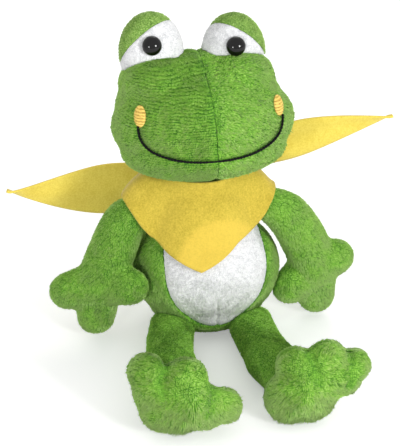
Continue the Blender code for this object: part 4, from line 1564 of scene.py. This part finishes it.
@dataclass
class Leg:
    """A leg and its big three-toed foot."""

    side: Side
    hip_out: float = 0.0165
    hip_height: float = 0.0072
    hip_reach: float = 0.0150
    length: float = 0.0530
    radius: float = 0.0112
    root_radius: float = 0.0065
    root_half_width: float = 0.0102
    ankle_radius: float = 0.0092
    flatness: float = 0.78
    smoothing: int = 3
    radius_shares: tuple[float, ...] = (0.58, 0.73, 1.0, 0.82)
    foot_length: float = 0.0360
    foot_half_thickness: float = 0.0072
    foot_reach: float = 0.0100
    foot_raise: float = math.radians(-15.0)
    foot_smoothing: int = 5
    rim_gap: float = 0.0003

    def path_shares(self) -> tuple[tuple[float, float, float], ...]:
        """The leg's path from the hip, in shares of its length.

        Returns:
            The path's points.
        """
        if self.side is Side.LEFT:
            return (0.0, 0.0, 0.0), (0.035, -0.31, 0.02), (0.105, -0.66, 0.04), (0.20, -1.01, 0.07)
        return (0.0, 0.0, 0.0), (-0.05, -0.32, 0.03), (-0.07, -0.70, 0.07), (-0.075, -1.09, 0.11)

    def lobe_shares(self) -> tuple[tuple[float, float, float], ...]:
        """The foot's lobes: across, up and radius, in shares of its length.

        Returns:
            The lobes.
        """
        if self.side is Side.LEFT:
            return (
                (-0.045, -0.05, 0.315),
                (0.15, 0.0, 0.36),
                (0.02, 0.31, 0.24),
                (0.38, 0.36, 0.25),
                (0.52, 0.18, 0.255),
                (0.69, 0.305, 0.185),
            )
        return (
            (-0.10, -0.03, 0.335),
            (0.02, -0.02, 0.37),
            (-0.22, 0.12, 0.26),
            (-0.30, 0.355, 0.23),
            (0.12, 0.24, 0.275),
            (0.30, -0.08, 0.28),
            (0.54, -0.075, 0.21),
        )

    def toe_creases(self) -> tuple[tuple[tuple[float, float], ...], ...]:
        """The folds between the toes: places across and up, in shares of the foot's length.

        Returns:
            The folds.
        """
        if self.side is Side.LEFT:
            return (
                ((0.14, 0.60), (0.152, 0.479), (0.218, 0.302), (0.239, 0.185)),
                ((0.60, 0.54), (0.613, 0.408), (0.614, 0.199), (0.549, 0.097)),
            )
        return (
            ((-0.08, 0.60), (-0.09, 0.46), (-0.156, 0.282), (-0.117, 0.154)),
            ((0.43, 0.36), (0.408, 0.308), (0.411, 0.158), (0.341, -0.069)),
        )

    def dress(self, torso: Torso) -> None:
        """Cover the leg and foot with pile.

        Args:
            torso: The torso that the hip turns inside.
        """
        name = self.side.value
        hip = Vector((self.side.sign * self.hip_out, -self.hip_reach, self.hip_height))
        path = [hip + Vector(row) * self.length for row in self.path_shares()]
        ankle = path[-1]
        balls = []
        radii = [self.radius * share for share in self.radius_shares]
        for place, (radius, _, _) in tube_balls(path, radii):
            half_height = max(self.root_radius, radius * self.flatness)
            balls.append((place, (max(radius, self.root_half_width), radius, half_height)))
        balls.append((ankle, (self.ankle_radius,) * 3))
        skin = Plush(WEAVE.fused(balls, self.smoothing), SHORT_COAT)
        skin.tuck_under(torso.cloth_tree).rest_on(FLOOR_CLEARANCE)
        leg_tree = skin.tree()
        flow = (path[-1] - path[0]).normalized()
        piece = skin.grow(f"leg_plush_{name}", GREEN_PLUSH.material(), Comb(flow))
        attach(piece, f"leg_{name}", f"leg_skin_{name}", fill=0.6)
        self.dress_foot(ankle, leg_tree)

    def dress_foot(self, ankle: Vector, leg_tree: BVHTree) -> None:
        """Cover the foot's sole and top, which meet in a seam round the rim.

        Args:
            ankle: The ankle's place.
            leg_tree: The leg's cloth, which the foot is pressed on.
        """
        name = self.side.value
        balls = []
        for across, up, radius in self.lobe_shares():
            size = radius * self.foot_length
            centre = Vector((across * self.foot_length, -self.foot_reach, up * self.foot_length))
            balls.append((centre, (size, min(size, self.foot_half_thickness), size)))
        form = WEAVE.fused(balls, self.foot_smoothing)
        place = Matrix.Translation(ankle) @ Matrix.Rotation(self.foot_raise, 4, "X")
        form.transform(place)
        forward = place.to_3x3() @ FRONT
        rim = place @ (FRONT * self.foot_reach)
        middle = place @ Vector((0.15 * self.foot_length, -self.foot_reach, 0.05 * self.foot_length))
        tree = tree_of(form)
        folds = [
            [self._on_sole(tree, place, forward, spot) for spot, _ in smooth_path(self._fold(fold), 8)]
            for fold in self.toe_creases()
        ]
        for part, sign in (("sole", 1.0), ("top", -1.0)):
            edge = rim + forward * (sign * self.rim_gap / 2.0)
            skin = Plush(form, LONG_COAT).furrow(Plane(rim, forward).distance, FOOT_RIM)
            skin.keep_half(edge, forward * -sign)
            for fold in folds:
                skin.part_along(fold, TOE_FOLD)
            skin.press(leg_tree, LIMB_CLEARANCE).rest_on(FLOOR_CLEARANCE)
            brushed = Comb(UP * -0.45, middle, 0.8)
            piece = skin.grow(f"foot_{part}_plush_{name}", FOOT_PLUSH.material(), brushed)
            attach(piece, f"foot_{name}", f"foot_{part}_{name}", fill=0.7)

    def _fold(self, fold: Sequence[tuple[float, float]]) -> list[Vector]:
        """Turn a fold's shares into places in the foot's own frame.

        Args:
            fold: The shares across and up.

        Returns:
            The places.
        """
        return [Vector((across, 0.0, up)) * self.foot_length for across, up in fold]

    def _on_sole(self, tree: BVHTree, place: Matrix, forward: Vector, spot: Vector) -> Vector:
        """Find a place on the sole.

        Args:
            tree: The foot's surface.
            place: The foot's frame.
            forward: The direction that the sole faces.
            spot: The place across and up, in the foot's frame.

        Returns:
            The place on the surface, or at the rim where the sole ends below it.
        """
        start = place @ spot + forward * self.foot_length
        hit, _, _, _ = tree.ray_cast(start, -forward)
        return hit or place @ (spot + FRONT * self.foot_reach)


@dataclass
class Bandana:
    """The felt bandana: a sheet round the neck, a knot behind it and two tails."""

    torso: Torso
    arms: Sequence[Arm]
    felt: float = 0.0010
    top_radius: float = 0.0152
    top_height: float = 0.0738
    back_height: float = 0.0615
    side_radius: float = 0.0335
    side_height: float = 0.0635
    tip_height: float = 0.0385
    sidestep: float = -0.0035
    tip_sidestep: float = -0.0015
    # Where the felt's painted light lies, over the white belly.
    painted_glow_centre: tuple[float, float] = (0.0035, 0.0345)
    painted_glow_radii: tuple[float, float] = (0.0200, 0.0250)
    hem_slope: float = 0.44
    hem_curve: float = 7.0
    crown: float = 0.0042
    back_curve: float = 3.0
    clearance: float = 0.0015
    columns: int = 220
    rows: int = 26
    ease: float = 0.5
    even_rounds: int = 12
    settle_rounds: int = 14
    ripple_scale: tuple[float, float, float] = (90.0, 90.0, 40.0)
    ripple_lift: float = 0.3
    ripple_depth: float = 0.0008
    tip_angle: float = math.radians(14.0)
    open_angle: float = math.radians(18.0)
    corner_angle: float = math.radians(78.0)
    knot_radius: float = 0.0068
    knot_height: float = 0.0600
    knot_set_back: float = 0.0258
    knot_step: tuple[float, float, float] = (0.33, 0.0, 0.20)
    knot_wrap: tuple[float, float, float] = (0.60, 0.80, 0.98)
    knot_pleats: float = 9.0
    knot_twist: float = 4.0
    knot_pleat_depth: float = 0.0003
    tail_length: float = 0.0800
    tail_half_widths: tuple[float, float] = (0.0100, 0.0138)
    tail_rises: tuple[float, float] = (math.radians(15.5), math.radians(-4.0))
    tail_sags: tuple[float, float] = (0.0, 0.0068)
    tail_areas: tuple[float, float] = (0.00115, 0.00151)
    tail_taper: float = 1.0
    tail_curl: float = 0.0045
    tail_root_share: float = 0.30
    tail_swell_share: float = 0.55
    tail_taper_start: float = 0.32
    tail_taper_span: float = 0.68
    tail_twist: float = 0.4
    tail_sag_curve: float = 0.7
    flute_turns: float = 1.5
    flute_fade: float = 1.5
    flute_depth: float = 0.0011
    gap: float = 0.0003

    def hem(self, angle: float) -> tuple[float, float]:
        """Find the hem.

        Args:
            angle: The angle from the front.

        Returns:
            The hem's height and its reach from the neck.
        """
        corner = self.corner_angle
        if abs(angle) <= corner:
            share = math.sin(abs(angle)) / math.sin(corner)
            rise = self.hem_slope * share + (1.0 - self.hem_slope) * share**self.hem_curve
            return self.tip_height + (self.side_height - self.tip_height) * rise, self.side_radius * share
        share = (abs(angle) - corner) / (math.pi - corner)
        height = self.side_height + (self.back_height - self.felt - self.side_height) * share
        return height, self.side_radius + (self.top_radius - self.side_radius) * share

    def point(self, angle: float, down: float) -> Vector:
        """Find a place on the sheet.

        Args:
            angle: The angle from the front.
            down: The share of the way from the top edge to the hem.

        Returns:
            The place.
        """
        hem_height, hem_radius = self.hem(angle)
        back_share = (1.0 - math.cos(angle)) / 2.0
        back_rise = self.back_height + self.felt - self.top_height
        top = self.top_height + back_rise * back_share**self.back_curve
        crown = self.crown * math.sin(math.pi * down) * math.sin(angle) ** 2
        height = top + (hem_height - top) * down + crown
        radius = self.top_radius + (hem_radius - self.top_radius) * down
        outward = Vector((math.sin(angle), -math.cos(angle), 0.0))
        axis = Vector((self.torso.neck.x * (1.0 - down), self.torso.neck.y, height))
        hit, _, _, _ = self.torso.tree.ray_cast(axis + outward, -outward)
        if hit is not None:
            radius = max(radius, (hit - axis).length + self.clearance + self.felt)
        sidestep = self.sidestep + self.tip_sidestep * math.cos(angle / 2.0) ** 4
        return axis + outward * radius + Vector((sidestep * down, 0.0, 0.0))

    def build(self) -> "Bandana":
        """Lay the sheet over the chest and the arms.

        Returns:
            This bandana.
        """
        bm = bmesh.new()
        bmesh.ops.create_grid(bm, x_segments=self.columns, y_segments=self.rows, size=1.0)
        span = math.pi - self.open_angle
        hem = sorted((vert for vert in bm.verts if vert.co.y < -0.999), key=lambda vert: vert.co.x)
        free = [vert for vert in hem[1:-1] if abs(vert.co.x) * span > self.tip_angle]
        hem_ends = {vert: (hem[index], hem[index + 2]) for index, vert in enumerate(hem[1:-1])}
        inner = [vert for vert in bm.verts if not vert.is_boundary]
        for vert in bm.verts:
            vert.co = self.point(vert.co.x * span, (1.0 - vert.co.y) / 2.0)
        for _ in range(self.even_rounds):
            bmesh.ops.smooth_vert(
                bm, verts=inner, factor=self.ease, use_axis_x=True, use_axis_y=True, use_axis_z=False
            )
        for _ in range(self.settle_rounds):
            bmesh.ops.smooth_vert(
                bm, verts=inner, factor=self.ease, use_axis_x=True, use_axis_y=True, use_axis_z=True
            )
            eased = [(hem_ends[vert][0].co + hem_ends[vert][1].co) / 2.0 for vert in free]
            for vert, middle in zip(free, eased):
                vert.co = middle
            self._push_out(bm)
        bm.normal_update()
        for vert in bm.verts:
            _, normal, _, _ = self.torso.tree.find_nearest(vert.co)
            spot = Vector([value * scale for value, scale in zip(vert.co, self.ripple_scale)])
            vert.co += normal * (noise.noise(spot) + self.ripple_lift) * self.ripple_depth
        self.sheet = mesh_of(bm)
        self.points = [vert.co.copy() for vert in self.sheet.vertices]
        return self

    def _push_out(self, bm: bmesh.types.BMesh) -> None:
        """Push the sheet out of the torso and the arms.

        Args:
            bm: The sheet, which is changed.
        """
        least = self.clearance + self.felt / 2.0
        for tree in (self.torso.tree, *[arm.tree for arm in self.arms]):
            for vert in bm.verts:
                nearest, normal, _, _ = tree.find_nearest(vert.co)
                if (vert.co - nearest).dot(normal) < least:
                    vert.co = nearest + normal * least

    def dress(self) -> None:
        """Add the sheet, the knot and the tails in felt."""
        # The front felt carries painted light in an oval over the white belly.
        painted_glow_felt = FeltFinish(
            "yellow_felt_front", (0.430, 0.320, 0.030), (0.680, 0.515, 0.068), (0.760, 0.540, 0.075),
            self.painted_glow_centre, self.painted_glow_radii,
        )
        # The knot and tails take a lighter copy of the felt: painted light that makes up for the shade they
        # sit in.
        felt = FeltFinish("yellow_felt", (0.740, 0.550, 0.065), (0.920, 0.740, 0.140), (0.88, 0.61, 0.11))
        thick = {"thickness": self.felt, "offset": 0.0}
        sheet = run_modifiers(self.sheet, ("SOLIDIFY", thick))
        front = add_piece("bandana_sheet", sheet, painted_glow_felt.material())
        attach(front, "torso", "bandana_front")

        middle = Vector((0.0, self.knot_set_back, self.knot_height))
        knot = add_piece("bandana_tie", self.knot_mesh(middle), felt.material())
        attach(knot, "torso", "bandana_knot")
        for index, side in enumerate(Side):
            sheet = run_modifiers(self.tail_mesh(index, side, middle), ("SOLIDIFY", thick))
            tail = add_piece(f"bandana_end_{side.value}", sheet, felt.material())
            attach(tail, f"tail_{side.value}", f"bandana_tail_{side.value}")

    def knot_mesh(self, middle: Vector) -> bpy.types.Mesh:
        """Make the knot, a roll with two lobes and pleats.

        Args:
            middle: Its centre.

        Returns:
            The mesh.
        """
        step = Vector(self.knot_step) * self.knot_radius
        lobe = self.knot_radius * (1.0 - step.length / self.knot_radius)
        wrap = tuple(share * self.knot_radius for share in self.knot_wrap)
        balls = [(middle + step, (lobe,) * 3), (middle - step, (lobe,) * 3), (middle, wrap)]
        bm = bmesh_of(WEAVE.fused(balls, 1))
        for vert in bm.verts:
            away = vert.co - middle
            twist = away.y / self.knot_radius * self.knot_twist
            pleat = math.sin(math.atan2(away.z, away.x) * self.knot_pleats + twist)
            vert.co -= vert.normal * (self.knot_pleat_depth + self.knot_pleat_depth * pleat)
        return mesh_of(bm)

    def tail_half_width(self, index: int, share: float) -> float:
        """Half the width of a tail.

        Args:
            index: The tail's number, the left one first.
            share: The share of its length from the knot.

        Returns:
            The half width.
        """
        swell = math.sin(math.pi / 2.0 * min(1.0, share / self.tail_swell_share))
        past = max(0.0, share - self.tail_taper_start) / self.tail_taper_span
        taper = max(0.0, math.cos(math.pi / 2.0 * past)) ** self.tail_taper
        body = self.tail_root_share + (1.0 - self.tail_root_share) * swell
        return self.tail_half_widths[index] * body * taper

    def tail_mesh(self, index: int, side: Side, middle: Vector) -> bpy.types.Mesh:
        """Make a tail with flutes that run out from the knot.

        Args:
            index: The tail's number, the left one first.
            side: The tail's side.
            middle: The knot's centre.

        Returns:
            The mesh.
        """
        bm = bmesh.new()
        bmesh.ops.create_grid(bm, x_segments=90, y_segments=16, size=1.0)
        start = self.knot_radius + self.gap
        for vert in bm.verts:
            share = (vert.co.x + 1.0) / 2.0
            half = max(self.tail_half_width(index, share), self.felt / 2.0)
            bend = self.tail_curl * (math.sin(math.pi * share) - self.tail_twist * vert.co.y * share)
            flute = math.sin(vert.co.y * math.pi * self.flute_turns + side.sign)
            flute *= (1.0 - share) ** self.flute_fade * self.flute_depth
            drop = self.tail_sags[index] * max(0.0, math.sin(math.pi * share)) ** self.tail_sag_curve
            vert.co = Vector((start + self.tail_length * share, bend + flute, vert.co.y * half - drop))
        mirror = Matrix.Diagonal((side.sign, 1.0, 1.0, 1.0))
        turn = Matrix.Rotation(-self.tail_rises[index], 4, "Y")
        bmesh.ops.transform(bm, matrix=Matrix.Translation(middle) @ mirror @ turn, verts=bm.verts)
        bmesh.ops.recalc_face_normals(bm, faces=bm.faces)
        return mesh_of(bm)


# Finishes of the pieces inside, and the studio


def dress_inner_nodes() -> None:
    """Give the stuffing, beans, washers and neck thread their finishes."""
    finishes = {
        "stuffing": FIBRE_FILL.material(),
        "bean_bag": CANVAS.material(),
        "eye_washer": WASHER_PLASTIC.material(),
        "neck_thread": BLACK_THREAD.material(),
    }
    for name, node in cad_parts.items():
        for key, finish in finishes.items():
            if key in name:
                node.data.materials.clear()
                node.data.materials.append(finish)


@dataclass
class Studio:
    """The photograph's camera, a pale floor and soft light."""

    azimuth: float = math.radians(-5.0)
    elevation: float = math.radians(30.0)
    distance: float = 0.6
    look: Vector = field(default_factory=lambda: Vector((-0.0035, 0.0, 0.048)))
    metres_a_pixel: float = 0.000432
    image_width: int = 400
    floor_size: float = 12.0
    sensor_width: float = 36.0
    ambient: float = 0.74
    floor_glow: float = 0.34
    lamps: tuple[tuple[str, tuple[float, float, float], float, float], ...] = (
        ("key", (0.64, -0.85, 0.42), 0.24, 7.0),
        ("fill", (-0.50, -0.95, 0.30), 0.18, 2.6),
        ("back", (0.15, 0.80, 0.70), 0.50, 1.8),
    )

    def add_camera(self) -> None:
        """Set the camera at the photograph's angle."""
        flat = math.cos(self.elevation)
        across, back = math.sin(self.azimuth) * flat, -math.cos(self.azimuth) * flat
        away = Vector((across, back, math.sin(self.elevation)))
        data = bpy.data.cameras.new("camera")
        data.sensor_fit = "HORIZONTAL"
        data.sensor_width = self.sensor_width
        data.lens = self.sensor_width * self.distance / (self.metres_a_pixel * self.image_width)
        data.clip_start = 0.01
        camera = bpy.data.objects.new("camera", data)
        camera.location = self.look + away * self.distance
        camera.rotation_mode = "QUATERNION"
        camera.rotation_quaternion = (-away).to_track_quat("-Z", "Y")
        bpy.context.scene.collection.objects.link(camera)
        bpy.context.scene.camera = camera

    def add_lamp(self, name: str, place: Vector, size: float, power: float) -> None:
        """Add a soft lamp that points at the frog.

        Args:
            name: The lamp's name.
            place: Where it hangs.
            size: Its width.
            power: Its power in watts.
        """
        data = bpy.data.lights.new(name, "AREA")
        data.size = size
        data.energy = power
        lamp = bpy.data.objects.new(name, data)
        lamp.location = place
        lamp.rotation_mode = "QUATERNION"
        lamp.rotation_quaternion = (self.look - place).to_track_quat("-Z", "Y")
        bpy.context.scene.collection.objects.link(lamp)

    def add_world(self) -> None:
        """Light the object evenly and show white behind it."""
        world = bpy.data.worlds.new("white")
        world.use_nodes = True
        bpy.context.scene.world = world
        tree = world.node_tree
        path = tree.nodes.new("ShaderNodeLightPath")
        seen = tree.nodes.new("ShaderNodeMath")
        seen.operation = "MAXIMUM"
        also = tree.nodes.new("ShaderNodeMath")
        also.operation = "MAXIMUM"
        strength = tree.nodes.new("ShaderNodeMapRange")
        strength.inputs["To Min"].default_value = self.ambient
        strength.inputs["To Max"].default_value = 1.0
        ground = tree.nodes["Background"]
        ground.inputs["Color"].default_value = (1.0, 1.0, 1.0, 1.0)
        tree.links.new(path.outputs["Is Camera Ray"], seen.inputs[0])
        tree.links.new(path.outputs["Is Glossy Ray"], seen.inputs[1])
        tree.links.new(seen.outputs[0], also.inputs[0])
        tree.links.new(path.outputs["Is Transmission Ray"], also.inputs[1])
        tree.links.new(also.outputs[0], strength.inputs["Value"])
        tree.links.new(strength.outputs["Result"], ground.inputs["Strength"])

    def add_floor(self) -> None:
        """Lay a white floor that keeps the frog's shadow."""
        bm = bmesh.new()
        bmesh.ops.create_grid(bm, x_segments=1, y_segments=1, size=self.floor_size / 2.0)
        graph = Graph("white_floor")
        seen = graph.node("ShaderNodeLightPath", {}, {}, "Is Camera Ray")
        glossy = graph.node("ShaderNodeLightPath", {}, {}, "Is Glossy Ray")
        clear = graph.node("ShaderNodeLightPath", {}, {}, "Is Transmission Ray")
        glow = (seen + glossy + clear) * self.floor_glow
        graph.surface(Base_Color=(0.86, 0.86, 0.86), Roughness=1.0, Specular_IOR_Level=0.0)
        graph.surface(Emission_Color=(1.0, 1.0, 1.0), Emission_Strength=glow)
        add_piece("floor", mesh_of(bm), graph.material)

    def build(self) -> None:
        """Add the camera, the lamps, the world and the floor."""
        self.add_camera()
        for name, place, size, power in self.lamps:
            self.add_lamp(name, Vector(place), size, power)
        self.add_world()
        self.add_floor()
        bpy.context.scene.view_settings.view_transform = "Standard"


def main() -> None:
    """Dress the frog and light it."""
    logging.basicConfig(level=logging.INFO, format="%(message)s")
    Studio().build()
    torso = Torso().build()
    arms = [Arm(side).build() for side in Side]
    bandana = Bandana(torso, arms).build()
    torso.dress(bandana.points)
    Head(torso.neck).build().dress(torso)
    for arm in arms:
        arm.dress(torso, bandana.points)
        Leg(arm.side).dress(torso)
    bandana.dress()
    dress_inner_nodes()


if __name__ == "__main__":
    main()
